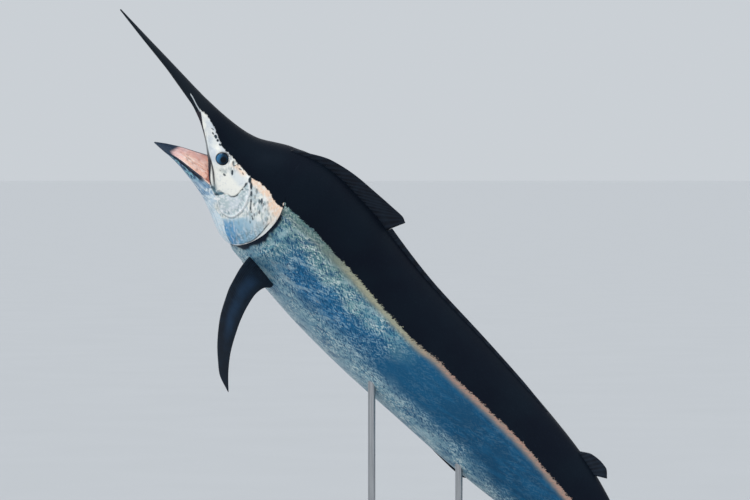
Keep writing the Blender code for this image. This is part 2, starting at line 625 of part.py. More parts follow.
def tail_lobe(name, sign):
    """One lobe of the tail fin, thick where it meets the tail stock."""
    rows, columns = 17, 21
    lead, trail = matched(LOBE_LEAD, LOBE_TRAIL, rows)
    half = ray_pattern(rows, columns, False, LOBE_THICK, EDGE * 2)
    t = np.linspace(0, 1, columns)[None, :]
    away = np.linalg.norm(lead, axis=1)[:, None] + t * np.linalg.norm(trail - lead, axis=1)[:, None]
    flat_s = lead[:, None, 0] * (1 - t) + trail[:, None, 0] * t
    flat_z = lead[:, None, 1] * (1 - t) + trail[:, None, 1] * t
    stock = half_width(TAIL_END) * LENGTH * np.sqrt(np.clip(1 - (flat_z / 0.0226) ** 2, 0.0016, 1))
    fade = np.clip(1 - flat_s / 0.05, 0, 1) ** 2
    edge = 0.35 + 0.65 * np.sin(math.pi * (0.1 + 0.85 * t**0.7))
    half = np.where(away < FORK_NEAR, np.maximum(half * edge, stock * fade), half * edge) + EDGE / 3
    half = np.minimum(half, np.where(flat_s < 0.002, stock + EDGE / 3, 1.0))

    def to_world(s, z, w):
        start = TAIL_END + GAP / LENGTH
        return place(start + s, np.asarray(w) / LENGTH, sign * (z + GAP / 2 / LENGTH))
    return blade(name, lead, trail, half, to_world)


def pelvic(name, side, hull):
    """Slim pelvic fin lying along the belly."""
    first, last = PELVIC_STATIONS
    s = np.linspace(first, last, 12)
    spread = np.arange(8) * math.pi / 4
    rows = []
    for k, at in enumerate(s):
        share = k / (len(s) - 1)
        size = PELVIC_RADIUS * (1 - 0.75 * share) * (0.6 + 0.4 * min(1, 6 * share))
        y = side * (PELVIC_ASIDE - PELVIC_INWARD * share)
        z = skin_under(at, abs(y))
        rows.append(place(at, y + size * 1.3 * np.cos(spread), z - 0.0002 + size * 0.8 * np.sin(spread)))
    obj = lofted(name, rows)
    cut(obj, hull, keep=True)
    return obj


def skin_under(s, y):
    """Height of the belly's skin at a side offset."""
    q = (y / half_width(s)) ** (1 / LOWER_POWER)
    return widest(s) - (widest(s) - belly(s)) * math.sqrt(1 - q * q)


def stand_base():
    """Flat display base with chamfered edges; its underside lies on the floor plane."""
    half_x, half_y, high = BASE_SIZE[0] / 2, BASE_SIZE[1] / 2, BASE_SIZE[2]
    rows = []
    for z, inset in ((0.0, BASE_CHAMFER), (BASE_CHAMFER, 0.0), (high - BASE_CHAMFER, 0.0), (high, BASE_CHAMFER)):
        x, y = half_x - inset, half_y - inset
        rows.append(np.array([(x, y, z), (-x, y, z), (-x, -y, z), (x, -y, z)]))
    obj = lofted("stand_base", rows)
    for poly in obj.data.polygons:
        poly.use_smooth = False
    return obj


def rod(name, station, hull):
    """Upright rod from the base to the belly under a station of the spine."""
    foot = place(station, 0, 0)
    turn_ = np.arange(24) * math.pi / 12
    ring = np.stack([foot[0] + ROD_RADIUS * np.cos(turn_), foot[1] + ROD_RADIUS * np.sin(turn_)], -1)
    rows = [np.column_stack([ring, np.full(24, z)]) for z in (BASE_SIZE[2] + GAP, foot[2])]
    obj = lofted(name, rows)
    cut(obj, hull, keep=True)
    return obj


def finish(obj, slot, color, rough, metal=0.0):
    obj.data.materials.clear()
    obj.data.materials.append(material(slot, color, rough, metal))


def main():
    for obj in list(bpy.data.objects):
        bpy.data.objects.remove(obj)
    hull = body_hull("hull", GAP)
    finish(bill(), "bill_skin", "navy", SKIN_ROUGH)
    finish(head(), "head_skin", "cream", SKIN_ROUGH)
    finish(lower_jaw(), "jaw_skin", "jaw", SKIN_ROUGH)
    finish(torso_front(), "torso_front_skin", "silver", SKIN_ROUGH)
    finish(torso_middle(), "torso_middle_skin", "silver", SKIN_ROUGH)
    finish(tail_stock(), "tail_stock_skin", "blue", SKIN_ROUGH)
    finish(tail_lobe("tail_lobe_upper", 1), "tail_lobe_upper_skin", "navy", FIN_ROUGH)
    finish(tail_lobe("tail_lobe_lower", -1), "tail_lobe_lower_skin", "navy", FIN_ROUGH)
    for name, (base, crest, rows, root) in MEDIAN_FINS.items():
        finish(median_fin(name, base, crest, rows, root, hull), name + "_skin", "navy", FIN_ROUGH)
    for tag, side in (("left", 1), ("right", -1)):
        finish(eye("eye_" + tag, side), f"eye_{tag}_glass", "eye", 0.08)
        finish(pectoral("pectoral_fin_" + tag, side, hull), f"pectoral_fin_{tag}_skin", "navy", FIN_ROUGH)
        finish(pelvic("pelvic_fin_" + tag, side, hull), f"pelvic_fin_{tag}_skin", "navy", FIN_ROUGH)
    finish(stand_base(), "stand_base_paint", "stand", 0.5)
    for name, station in ROD_STATIONS.items():
        finish(rod(name, station, hull), name + "_steel", "steel", 0.3, 1.0)
    bpy.data.objects.remove(hull)


main()
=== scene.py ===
"""Looks of the blue marlin model: one fine skin, rayed fins, eyes and painted markings over the solids.

The fish is described straight, as in the part: a station s along it (fraction of LENGTH, 0 just ahead
of the shut jaw and 1 at the fork of the tail), y to its left and z to its back.  place() bends it.
"""
import math
from types import SimpleNamespace

import bpy
import numpy as np
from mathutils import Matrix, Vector


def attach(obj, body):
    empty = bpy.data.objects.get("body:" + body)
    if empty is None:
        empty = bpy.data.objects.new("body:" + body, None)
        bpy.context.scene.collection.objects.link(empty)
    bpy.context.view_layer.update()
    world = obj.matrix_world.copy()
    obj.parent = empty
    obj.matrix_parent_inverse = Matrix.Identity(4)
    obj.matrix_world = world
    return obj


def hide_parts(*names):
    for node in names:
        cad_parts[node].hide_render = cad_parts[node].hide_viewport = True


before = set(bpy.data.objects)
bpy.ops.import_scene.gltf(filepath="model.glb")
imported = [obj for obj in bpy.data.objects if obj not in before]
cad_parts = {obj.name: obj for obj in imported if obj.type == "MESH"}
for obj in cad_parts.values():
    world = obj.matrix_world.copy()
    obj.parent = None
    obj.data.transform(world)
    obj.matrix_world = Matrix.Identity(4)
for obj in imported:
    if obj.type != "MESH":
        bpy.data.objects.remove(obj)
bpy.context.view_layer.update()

LENGTH = 3.4
REF_STATION = 0.45
REF_PLACE = (0.0, 0.0, 2.17)
ROLL = math.radians(25)
SLOPE = [(-0.20, 51), (0.18, 51), (0.30, 48.5), (0.45, 46), (0.60, 45), (0.72, 44.5), (0.85, 46), (1.15, 51)]
TURN = [(-0.20, 24), (0.18, 24), (0.30, 17), (0.45, 8), (0.60, 0), (0.80, -8), (1.15, -17)]
BACK = [
    (-0.168, 0.0065), (-0.112, 0.0092), (-0.066, 0.0128), (-0.031, 0.0152), (0.0, 0.0172), (0.03, 0.0205),
    (0.06, 0.025), (0.092, 0.0325), (0.11, 0.0405), (0.15, 0.0745), (0.19, 0.0965), (0.24, 0.1055),
    (0.30, 0.107), (0.36, 0.102), (0.45, 0.0953), (0.55, 0.093), (0.65, 0.0875), (0.74, 0.079),
    (0.80, 0.0695), (0.86, 0.053), (0.92, 0.0285), (0.955, 0.0225)]
BELLY = [
    (-0.168, 0.0045), (-0.112, 0.0036), (-0.066, 0.0034), (-0.03, 0.0014), (0.0, -0.003), (0.03, -0.02),
    (0.07, -0.05), (0.09, -0.066), (0.116, -0.0765), (0.135, -0.0785), (0.153, -0.0825), (0.174, -0.0885),
    (0.20, -0.095), (0.24, -0.0955), (0.28, -0.0955), (0.36, -0.0975), (0.45, -0.0957), (0.55, -0.089),
    (0.65, -0.083), (0.74, -0.0735), (0.80, -0.062), (0.86, -0.045), (0.92, -0.0265), (0.955, -0.0225)]
HALF_WIDTH = [
    (-0.168, 0.001), (-0.112, 0.005), (-0.066, 0.0072), (-0.03, 0.0095), (0.0, 0.013), (0.03, 0.0185),
    (0.06, 0.0252), (0.09, 0.033), (0.12, 0.04), (0.16, 0.048), (0.20, 0.0545), (0.25, 0.058), (0.32, 0.06),
    (0.40, 0.059), (0.50, 0.056), (0.60, 0.051), (0.70, 0.043), (0.80, 0.032), (0.86, 0.024), (0.92, 0.016),
    (0.955, 0.0135)]
WIDEST = [
    (-0.168, 0.0055), (-0.112, 0.0075), (-0.066, 0.0085), (-0.03, 0.008), (0.0, 0.005), (0.03, -0.002),
    (0.06, -0.009), (0.10, -0.0145), (0.15, -0.012), (0.20, -0.006), (0.30, 0.0), (0.80, 0.002),
    (0.955, 0.0)]
UPPER_LIP = [
    (-0.168, 0.0045), (-0.112, 0.0036), (-0.066, 0.0034), (-0.03, 0.003), (0.0, 0.004), (0.023, 0.0008),
    (0.052, -0.0085), (0.0845, -0.025), (0.105, -0.0385), (0.116, -0.044)]
JAW_RIM = [(0.0324, -0.086), (0.05, -0.0765), (0.0655, -0.067), (0.0856, -0.058), (0.116, -0.044)]
JAW_BOTTOM = [(0.0324, -0.0872), (0.0436, -0.084), (0.0626, -0.0795), (0.0851, -0.077), (0.116, -0.0765)]
JAW_WIDTH = [
    (0.0324, 0.001), (0.038, 0.0045), (0.045, 0.0082), (0.0655, 0.016), (0.0856, 0.0235), (0.116, 0.0353)]
GILL_LINE = [
    (0, 0.16), (30, 0.163), (55, 0.176), (71, 0.195), (81, 0.205), (90, 0.211), (102, 0.2155),
    (118, 0.2175), (131, 0.217), (150, 0.212), (165, 0.204), (180, 0.2)]
MOUTH_CORNER = 0.116
BILL_TIP = -0.168
JAW_TIP = 0.0324
THROAT_END = 0.152
GILL_EDGE = 0.2175
GILL_STEP = 0.0055
GILL_FADE = 0.024
WARP_START = 0.13
WARP_END = 0.32
TAIL_END = 0.955

EYE_STATION = 0.0905
EYE_HEIGHT = -0.0045
EYE_RADIUS = 0.0105 * LENGTH
EYE_DEPTH = 0.006 * LENGTH
EYE_SINK = 0.0026 * LENGTH
EYE_POCKET = 0.022      # depth of the skin behind the eyeball, in metres
EYE_STEP = 0.004
# rise of the lid over the cheek, in metres, over its distance from the middle in eye radii
LID_PROFILE = [
    (0.8, -0.006), (0.85, 0.0), (0.89, 0.0028), (0.94, 0.0036), (1.0, 0.0033), (1.15, 0.002), (1.3, 0.0012),
    (1.5, 0.0005), (1.7, 0.0001), (1.85, -0.0003)]
LID_RINGS = [
    0.8, 0.82, 0.84, 0.86, 0.875, 0.89, 0.905, 0.92, 0.94, 0.97, 1.0, 1.04, 1.09, 1.15, 1.21, 1.28, 1.36,
    1.44, 1.52, 1.6, 1.68, 1.76, 1.85]
NOSTRILS = ((0.0595, 0.0045), (0.067, 0.0043))
MAXILLA = [
    (0.045, 0.0), (0.06, -0.0095), (0.075, -0.0165), (0.088, -0.0215), (0.1, -0.027), (0.112, -0.034),
    (0.124, -0.0415), (0.131, -0.0475)]
# preopercle and the rear edge of the white cheek, round CHEEK_CENTRE: degrees above the rear, radius
CHEEK_CENTRE = (0.125, -0.02)
PREOPERCLE = [
    (-110, 0.026), (-68, 0.0301), (-45, 0.0496), (-32, 0.0529), (-11, 0.0448), (21, 0.0354), (59, 0.0327),
    (110, 0.035)]
CHEEK_EDGE = [
    (-120, 0.021), (-77, 0.0184), (-32, 0.0164), (-15, 0.0196), (29, 0.0206), (56, 0.0253), (76, 0.0343),
    (120, 0.04)]
# lower edge of the gill cover
COVER_LOW = [
    (0.12, -0.066), (0.15, -0.0635), (0.166, -0.062), (0.18, -0.067), (0.19, -0.072), (0.2, -0.0762),
    (0.21, -0.0795), (0.22, -0.084)]
# lower border of the dark back, and where the blue of the flank turns silver
DARK_LINE = [
    (-0.168, -0.02), (-0.05, -0.02), (0.0, -0.02), (0.012, -0.01), (0.0165, 0.0066), (0.03, 0.0112),
    (0.046, 0.0102), (0.057, 0.0085), (0.069, 0.0057), (0.081, 0.0048), (0.093, 0.0078), (0.106, 0.0093),
    (0.122, 0.0126), (0.133, 0.0142), (0.146, 0.0215), (0.166, 0.0252), (0.18, 0.0245), (0.195, 0.0285),
    (0.203, 0.0345), (0.221, 0.0385), (0.244, 0.0422), (0.268, 0.0438), (0.34, 0.0445), (0.385, 0.0422),
    (0.453, 0.0398), (0.498, 0.0386), (0.534, 0.0426), (0.58, 0.041), (0.619, 0.0415), (0.702, 0.0388),
    (0.747, 0.0345), (0.793, 0.0276), (0.85, 0.02), (0.91, 0.011), (0.955, 0.006)]
SILVER_LINE = [
    (0.1, -0.045), (0.2, -0.05), (0.25, -0.042), (0.318, -0.032), (0.402, -0.032), (0.45, -0.032),
    (0.529, -0.0335), (0.622, -0.035), (0.7, -0.041), (0.78, -0.046), (0.86, -0.036), (0.955, -0.02)]

# pale streak at the root of the bill, and pale flecks on the shoulder, cut out of the dark back
BILL_STREAK = [(-0.014, 0.0112), (-0.003, 0.0103), (0.009, 0.0085), (0.018, 0.0078)]
SHOULDER_FLECKS = ((0.1905, 0.0335, 0.005), (0.196, 0.031, 0.004), (0.2, 0.034, 0.003))
PALE_CUT_DEPTH = 0.2

PECTORAL_ROOT = (0.265, 0.044, -0.066)
PECTORAL_DROOP = math.radians(12.5)
PECTORAL_BOW = 0.126
PECTORAL_LEAD = [
    (-0.012, -0.024), (0.013, -0.029), (0.039, -0.0315), (0.071, -0.032), (0.099, -0.029), (0.127, -0.024),
    (0.151, -0.016), (0.173, -0.006), (0.192, 0.006), (0.21, 0.021), (0.219, 0.043)]
PECTORAL_TRAIL = [
    (-0.012, 0.03), (0.006, 0.028), (0.018, 0.019), (0.03, 0.0135), (0.052, 0.0085), (0.081, 0.007),
    (0.103, 0.0078), (0.132, 0.0115), (0.16, 0.017), (0.191, 0.0285), (0.219, 0.0445)]
FIRST_DORSAL_BASE = [
    (0.143, 0.065), (0.17, 0.08), (0.2, 0.09), (0.23, 0.097), (0.26, 0.1), (0.29, 0.101), (0.335, 0.099)]
FIRST_DORSAL_CREST = [
    (0.146, 0.0745), (0.19, 0.1105), (0.235, 0.1245), (0.275, 0.13), (0.31, 0.134), (0.332, 0.136),
    (0.3445, 0.1325)]
REAR_DORSAL_BASE = [
    (0.336, 0.099), (0.36, 0.097), (0.45, 0.0905), (0.55, 0.088), (0.65, 0.0825), (0.70, 0.078)]
REAR_DORSAL_CREST = [
    (0.3395, 0.1115), (0.365, 0.1085), (0.455, 0.1), (0.555, 0.0968), (0.655, 0.0905), (0.705, 0.0838)]
SECOND_DORSAL_BASE = [(0.776, 0.068), (0.786, 0.066), (0.796, 0.064), (0.806, 0.062), (0.812, 0.061)]
SECOND_DORSAL_CREST = [(0.779, 0.0758), (0.7945, 0.0855), (0.809, 0.0875), (0.8215, 0.086), (0.8335, 0.0755)]
FIRST_ANAL_BASE = [(0.598, -0.08), (0.615, -0.079), (0.635, -0.078), (0.655, -0.077), (0.672, -0.075)]
FIRST_ANAL_CREST = [(0.602, -0.0862), (0.632, -0.0895), (0.66, -0.0893), (0.684, -0.0866), (0.69, -0.081)]
SECOND_ANAL_BASE = [(0.782, -0.06), (0.792, -0.058), (0.802, -0.056), (0.812, -0.054), (0.818, -0.053)]
SECOND_ANAL_CREST = [(0.786, -0.0675), (0.8015, -0.078), (0.816, -0.0795), (0.828, -0.0765), (0.839, -0.066)]
LOBE_LEAD = [
    (0.0, 0.0), (0.0, 0.0115), (0.0, 0.0225), (0.0135, 0.043), (0.037, 0.073), (0.066, 0.105),
    (0.098, 0.138), (0.13, 0.167), (0.155, 0.188)]
LOBE_TRAIL = [
    (0.045, 0.0), (0.0455, 0.012), (0.0475, 0.0235), (0.056, 0.045), (0.0705, 0.073), (0.092, 0.104),
    (0.1165, 0.136), (0.139, 0.164), (0.157, 0.189)]
KEEL_STATIONS = (0.912, 0.951)
KEEL_HEIGHT = 0.0095
PELVIC_STATIONS = (0.252, 0.365)

EDGE = 0.0012           # thickness at the free edges of fins, in metres
RAY_HEIGHT = 0.0011     # of the ridges on the fins, in metres
PECTORAL_RAYS = 18
LOBE_RAYS = 24
PELVIC_SIZE = 0.0024
UPPER_COLUMNS = 321     # points round the skin above the lips, and below them
LOWER_COLUMNS = 121
THROAT_ROWS = 22
SMOOTH_ROWS = 38        # rows on each side of the fold between jaw and throat, and rounds of smoothing
SMOOTH_ROUNDS = 300
# how the skin folds in at the edge of the gill cover: metres aft, share sunk, 1 inside the parting
GILL_FOLD = (
    (-0.004, 0.0, 0.0), (-0.0017, 0.01, 0.0), (0.0, 0.06, 0.0), (0.0005, 0.2, 0.3), (-0.001, 0.55, 1.0),
    (-0.005, 0.95, 1.0), (-0.002, 1.0, 1.0), (0.002, 1.0, 1.0))


def curve(table):
    """Smooth curve without overshoot through rows of (place, value)."""
    x, y = np.array(table, float).T
    step = np.diff(x)
    rise = np.diff(y) / step
    tilt = np.zeros_like(x)
    for i in range(1, len(x) - 1):
        if rise[i - 1] * rise[i] > 0:
            a, b = 2 * step[i] + step[i - 1], step[i] + 2 * step[i - 1]
            tilt[i] = (a + b) / (a / rise[i - 1] + b / rise[i])
    tilt[0], tilt[-1] = rise[0], rise[-1]

    def at(v):
        v = np.asarray(v, float)
        i = np.clip(np.searchsorted(x, v) - 1, 0, len(x) - 2)
        t = np.clip((v - x[i]) / step[i], 0, 1)
        start = (2 * t**3 - 3 * t**2 + 1) * y[i] + (t**3 - 2 * t**2 + t) * step[i] * tilt[i]
        return start + (3 * t**2 - 2 * t**3) * y[i + 1] + (t**3 - t**2) * step[i] * tilt[i + 1]
    return at


back, belly, half_width, widest = curve(BACK), curve(BELLY), curve(HALF_WIDTH), curve(WIDEST)
upper_lip, jaw_rim = curve(UPPER_LIP), curve(JAW_RIM)
jaw_bottom, jaw_width = curve(JAW_BOTTOM), curve(JAW_WIDTH)
gill_line, slope, turn, cover_low = curve(GILL_LINE), curve(SLOPE), curve(TURN), curve(COVER_LOW)
dark_line, silver_line = curve(DARK_LINE), curve(SILVER_LINE)
preopercle_at, cheek_edge_at = curve(PREOPERCLE), curve(CHEEK_EDGE)


def axes(s):
    """Directions to the front, the left and the back of the fish at stations s."""
    a, b = np.radians(slope(s)), np.radians(turn(s))
    front = np.stack([-np.cos(a) * np.cos(b), -np.sin(b), np.sin(a) * np.cos(b)], -1)
    near = np.array([0.0, -1.0, 0.0])
    left = near - (front @ near)[..., None] * front
    left /= np.linalg.norm(left, axis=-1, keepdims=True)
    up = np.cross(front, left)
    return (front, math.cos(ROLL) * left - math.sin(ROLL) * up,
            math.cos(ROLL) * up + math.sin(ROLL) * left)


SPINE_S = np.linspace(-0.22, 1.2, 569)


def spine_points():
    front = axes(SPINE_S)[0]
    leg = -(front[1:] + front[:-1]) / 2 * np.diff(SPINE_S)[:, None] * LENGTH
    path = np.vstack([np.zeros(3), np.cumsum(leg, axis=0)])
    here = [np.interp(REF_STATION, SPINE_S, path[:, k]) for k in range(3)]
    return path - here + np.array(REF_PLACE)


SPINE = spine_points()


def place(s, y, z):
    """World places of points of the straight fish."""
    s, y, z = np.broadcast_arrays(*(np.asarray(v, float) for v in (s, y, z)))
    _, left, up = axes(s)
    spine = np.stack([np.interp(s, SPINE_S, SPINE[:, k]) for k in range(3)], -1)
    return spine + (left * y[..., None] + up * z[..., None]) * LENGTH


def ease(v, low, high):
    """0 below low, 1 above high, smooth between."""
    t = np.clip((v - low) / (high - low), 0, 1)
    return t * t * (3 - 2 * t)


def fade(v, low, high):
    """1 below low, 0 above high, smooth between."""
    return 1 - ease(v, low, high)


def bell(d, width):
    return np.exp(-(d / width) ** 2)


def metres(s, y, z):
    """Places in the straight fish in metres."""
    return s * LENGTH, y * LENGTH, z * LENGTH


def lumps(x, y, z, size, seed):
    """Smooth noise from 0 to 1 with lumps of about size."""
    lattice = np.random.RandomState(seed).rand(64, 64, 64)
    p = [np.asarray(v, float) / size + 200.0 for v in np.broadcast_arrays(x, y, z)]
    low = [np.floor(v).astype(int) for v in p]
    t = [v - n for v, n in zip(p, low)]
    t = [v * v * (3 - 2 * v) for v in t]
    total = 0.0
    for i in (0, 1):
        for j in (0, 1):
            for k in (0, 1):
                share = ((t[0] if i else 1 - t[0]) * (t[1] if j else 1 - t[1]) * (t[2] if k else 1 - t[2]))
                total = total + share * lattice[(low[0] + i) % 64, (low[1] + j) % 64, (low[2] + k) % 64]
    return total


def section(s, phi):
    """Side offset and height of the skin at stations s and angles phi from the back."""
    high, low, wide, mid = back(s), belly(s), half_width(s), widest(s)
    c, q = np.cos(phi), np.sin(phi)
    z = np.where(c > 0, mid + (high - mid) * c, mid + (mid - low) * c)
    y = wide * np.sign(q) * np.abs(q) ** np.where(c > 0, 1.0, 0.9)
    return y, z


def angle_of(s, z):
    """Angle from the back, in degrees, of the skin at a station and height."""
    mid = widest(s)
    c = np.where(z > mid, (z - mid) / (back(s) - mid), (z - mid) / np.maximum(mid - belly(s), 1e-6))
    return np.degrees(np.arccos(np.clip(c, -1, 1)))


def skin_side(s, z):
    """Side offset of the skin at a station and height."""
    q = np.sin(np.radians(angle_of(s, z)))
    return half_width(s) * q ** np.where(z > widest(s), 1.0, 0.9)


def lip_angle(s):
    """Angle from the back at which the upper lip lies."""
    s = np.minimum(s, MOUTH_CORNER)
    angle = np.radians(angle_of(s, upper_lip(s)))
    return np.minimum(angle, math.radians(165))


LIP_BEHIND = float(lip_angle(np.array(MOUTH_CORNER)))


def line_distance(s, z, table):
    """Distance in metres to a smooth line of (station, height) rows, and the share run along it."""
    at = np.linspace(0, len(table) - 1, 60)
    line = [curve(np.column_stack([np.arange(len(table)), np.array(table)[:, k]]))(at) for k in (0, 1)]
    best = np.full(np.shape(s), 1e9)
    share = np.zeros(np.shape(s))
    for k in range(len(at) - 1):
        ax, ay, bx, by = line[0][k], line[1][k], line[0][k + 1], line[1][k + 1]
        t = np.clip(((s - ax) * (bx - ax) + (z - ay) * (by - ay)) / ((bx - ax) ** 2 + (by - ay) ** 2), 0, 1)
        d = np.hypot(s - ax - t * (bx - ax), z - ay - t * (by - ay))
        closer = d < best
        best = np.where(closer, d, best)
        share = np.where(closer, (k + t) / (len(at) - 1), share)
    return best * LENGTH, share


def pale_cuts(s, z):
    """1 where pale streaks and flecks break the dark back."""
    d, share = line_distance(s, z, BILL_STREAK)
    cut = bell(d, 0.0028) * ease(share, 0.0, 0.2) * (np.abs(s) < 0.04)
    for fs, fz, size in SHOULDER_FLECKS:
        cut = np.maximum(cut, bell(np.hypot(s - fs, z - fz) * LENGTH, size))
    return cut


def cheek_polar(s, z):
    """Metres behind the white cheek's edge and behind the preopercle, and degrees above the rear."""
    ds, dz = s - CHEEK_CENTRE[0], z - CHEEK_CENTRE[1]
    angle, radius = np.degrees(np.arctan2(dz, ds)), np.hypot(ds, dz)
    fore = np.where(np.abs(angle) > 112, 0.05, 0.0)
    return (*((radius - edge(angle) - fore) * LENGTH for edge in (cheek_edge_at, preopercle_at)), angle)


def eye_distance(s, z):
    """Distance in metres from the middle of the eye."""
    return np.hypot(s - EYE_STATION, z - EYE_HEIGHT) * LENGTH


def eye_relief(d):
    """Rise of the brow round the eye and depth of the pocket behind it, at distances from its middle."""
    return 0.002 * bell(d - EYE_RADIUS * 1.35, 0.014), EYE_POCKET * fade(d, EYE_RADIUS, EYE_RADIUS * 1.45)


def relief(s, z):
    """Height in metres of the small forms of the head and tail stock over the plain skin."""
    s, z = np.broadcast_arrays(np.asarray(s, float), np.asarray(z, float))
    rise = np.zeros(s.shape)
    head = (s < 0.23) & (s > -0.03)
    if head.any():
        a, b = s[head], z[head]
        lip = (b - upper_lip(a)) * LENGTH
        r = 0.0045 * bell(lip - 0.007, 0.008) * ease(a, -0.02, 0.02) * fade(a, 0.108, 0.118)
        d, share = line_distance(a, b, MAXILLA)
        ends = ease(share, 0, 0.15) * fade(share, 0.85, 1)
        r = r + ends * (0.003 * bell(d - 0.006, 0.006) - 0.003 * bell(d, 0.0035))
        edge, pre, angle = cheek_polar(a, b)
        span = ease(angle, -85, -60) * fade(angle, 60, 85)
        r = r + span * (0.0035 * bell(pre + 0.004, 0.006) - 0.002 * bell(pre - 0.006, 0.005))
        r = r - span * 0.002 * bell(edge, 0.004)
        brow, pocket = eye_relief(eye_distance(a, b))
        r = r + brow - pocket
        for ns, nz in NOSTRILS:
            r = r - 0.005 * bell(np.hypot(a - ns, b - nz) * LENGTH, 0.0055)
        corner = np.hypot(a - 0.124, (b + 0.045) * 1.2) * LENGTH
        r = r - 0.006 * bell(corner, 0.012)
        plate = ease(pre, 0.0, 0.03) * ease(angle, -70, -50)
        r = r + plate * 0.0015 * (lumps(a, b, 0, 0.012, 5) - 0.5)
        rise[head] = r
    tail = s > 0.9
    if tail.any():
        a, b = s[tail], z[tail]
        first, last = KEEL_STATIONS
        run = np.clip((a - first + 0.003) / (last - first + 0.006), 0, 1)
        tall = 0.011 * np.sin(np.pi * run) ** 0.6
        rise[tail] = tall * sum(bell((b - height) * LENGTH, 0.0042) for height in (KEEL_HEIGHT, -KEEL_HEIGHT))
    return rise


def tone(red, green, blue):
    """Linear colour from display values 0 to 255."""
    shares = (red / 255, green / 255, blue / 255)
    return tuple(((v + 0.055) / 1.055) ** 2.4 if v > 10 / 255 else v / 12.92 for v in shares)


NAVY = tone(10, 15, 25)
NAVY_SOFT = tone(40, 56, 74)
# dark skin and painted shade for the parting behind the gill cover and the skin just aft of it
GAP_DARK_AND_SHADE = tone(14, 27, 42)
STREAK = tone(196, 204, 208)
LIP_DARK = tone(46, 41, 46)
CREAM = tone(250, 248, 238)
PALE_BLUE = tone(218, 226, 230)
SHADED = tone(196, 204, 214)
PLATE_GREY = tone(196, 210, 211)
PEACH = tone(250, 218, 192)
GILL_GREY = tone(198, 210, 212)
PALE_SKY = tone(182, 208, 220)
SKY = tone(126, 178, 208)
DEEP_SKY = tone(76, 150, 202)
THROAT = tone(218, 236, 244)
TEAL = tone(66, 104, 120)
BRIGHT_TEAL = tone(134, 190, 202)
JAW_BLUE = tone(112, 158, 194)
JAW_NAVY = tone(40, 66, 104)
GILL_CREAM = tone(238, 240, 233)
SCRATCH = tone(112, 138, 144)
MAUVE = tone(226, 188, 192)
RIM_GREY = tone(62, 66, 80)
PINK = tone(252, 222, 206)
PINK_DEEP = tone(208, 140, 122)
PALATE_STREAK = tone(250, 232, 222)
PALATE_RIM = tone(120, 110, 116)
GUM_STREAK = tone(255, 244, 236)
GUM_BROWN = tone(168, 136, 124)
WHITE = tone(252, 252, 250)
DASH = tone(44, 56, 64)
# broken dark line down the gill cover
GILL_DASHES = [
    (0.1325, 0.0165), (0.1362, 0.0118), (0.1419, 0.0098), (0.1498, 0.0052), (0.1591, -0.0014),
    (0.1691, -0.0098), (0.1812, -0.0163), (0.189, -0.0195)]
# dark flecks of the head: station, height, half length and half width in metres, lean, strength
HEAD_MARKS = (
    (0.0488, 0.0075, 0.009, 0.003, 20, 0.7), (0.0541, 0.0045, 0.007, 0.004, 0, 0.9),
    (0.0606, 0.0051, 0.009, 0.0062, -12, 1.0), (0.0663, 0.0044, 0.008, 0.0055, -12, 1.0),
    (0.0728, 0.0038, 0.006, 0.0045, 0, 1.0), (0.0877, 0.0045, 0.012, 0.0035, 40, 0.9),
    (0.0955, 0.0066, 0.012, 0.0042, -25, 0.8), (0.1034, 0.0052, 0.011, 0.0042, -35, 0.9),
    (0.1075, 0.0045, 0.009, 0.0035, 60, 0.7), (0.1095, 0.009, 0.007, 0.003, 40, 0.6),
    (0.1138, -0.0033, 0.0135, 0.0056, -35, 1.0), (0.1112, -0.015, 0.0095, 0.0066, 20, 0.9),
    (0.103, -0.0167, 0.0045, 0.004, 0, 0.45), (0.116, 0.0085, 0.008, 0.0035, 30, 0.8),
    (0.1235, 0.0085, 0.007, 0.003, 0, 0.7), (0.1362, 0.0117, 0.016, 0.0085, -36, 1.0),
    (0.1377, 0.0037, 0.009, 0.0055, -60, 0.8), (0.1441, 0.0085, 0.015, 0.0056, -36, 1.0),
    (0.1534, 0.0024, 0.012, 0.005, -36, 0.9), (0.1541, 0.0112, 0.013, 0.0055, -36, 0.6),
    (0.1598, 0.0044, 0.009, 0.004, -36, 0.55), (0.1619, -0.0042, 0.01, 0.0044, -36, 0.8),
    (0.1683, 0.0058, 0.012, 0.0048, -36, 0.7), (0.1698, 0.009, 0.0165, 0.0056, -36, 0.9),
    (0.1691, -0.0041, 0.011, 0.0048, -36, 0.65), (0.1705, -0.0112, 0.009, 0.0042, -30, 0.8),
    (0.1755, 0.0154, 0.009, 0.006, -36, 0.45), (0.1755, 0.0078, 0.009, 0.0045, -36, 0.6),
    (0.1819, -0.0036, 0.011, 0.005, -36, 0.75), (0.1833, 0.0054, 0.009, 0.004, -36, 0.4),
    (0.1815, -0.0125, 0.009, 0.004, -36, 0.6), (0.1855, -0.0176, 0.008, 0.0042, -30, 0.7),
    (0.176, -0.02, 0.008, 0.0036, -30, 0.4), (0.196, 0.001, 0.008, 0.0036, -36, 0.45),
    (0.1883, -0.0245, 0.009, 0.0036, -30, 0.6), (0.199, -0.008, 0.009, 0.0034, -40, 0.5))
# teal-grey shadows round the mouth corner, and their dark hearts
CORNER_MARKS = (
    (0.125, -0.0436, 0.027, 0.0105, -7, 0.95), (0.1328, -0.0402, 0.033, 0.0072, 83, 0.85),
    (0.1305, -0.0375, 0.017, 0.012, 60, 0.5), (0.1215, -0.0385, 0.02, 0.009, -30, 0.3))
CORNER_HEARTS = ((0.1318, -0.0447, 0.012, 0.0075, 60, 0.75), (0.1205, -0.0432, 0.013, 0.0062, -10, 0.7))
CORNER_WHITE = (0.1384, -0.0486, 0.0175, 0.008, 74)


def over(base, colour, mask):
    mask = np.clip(mask, 0, 1)[..., None]
    return base * (1 - mask) + np.array(colour) * mask


class Coat:
    """Colours of a set of points, painted over in turn."""

    def __init__(self, colour, s):
        self.rgb = np.zeros(np.shape(s) + (3,)) + np.array(colour)

    def over(self, colour, mask):
        self.rgb = over(self.rgb, colour, mask)


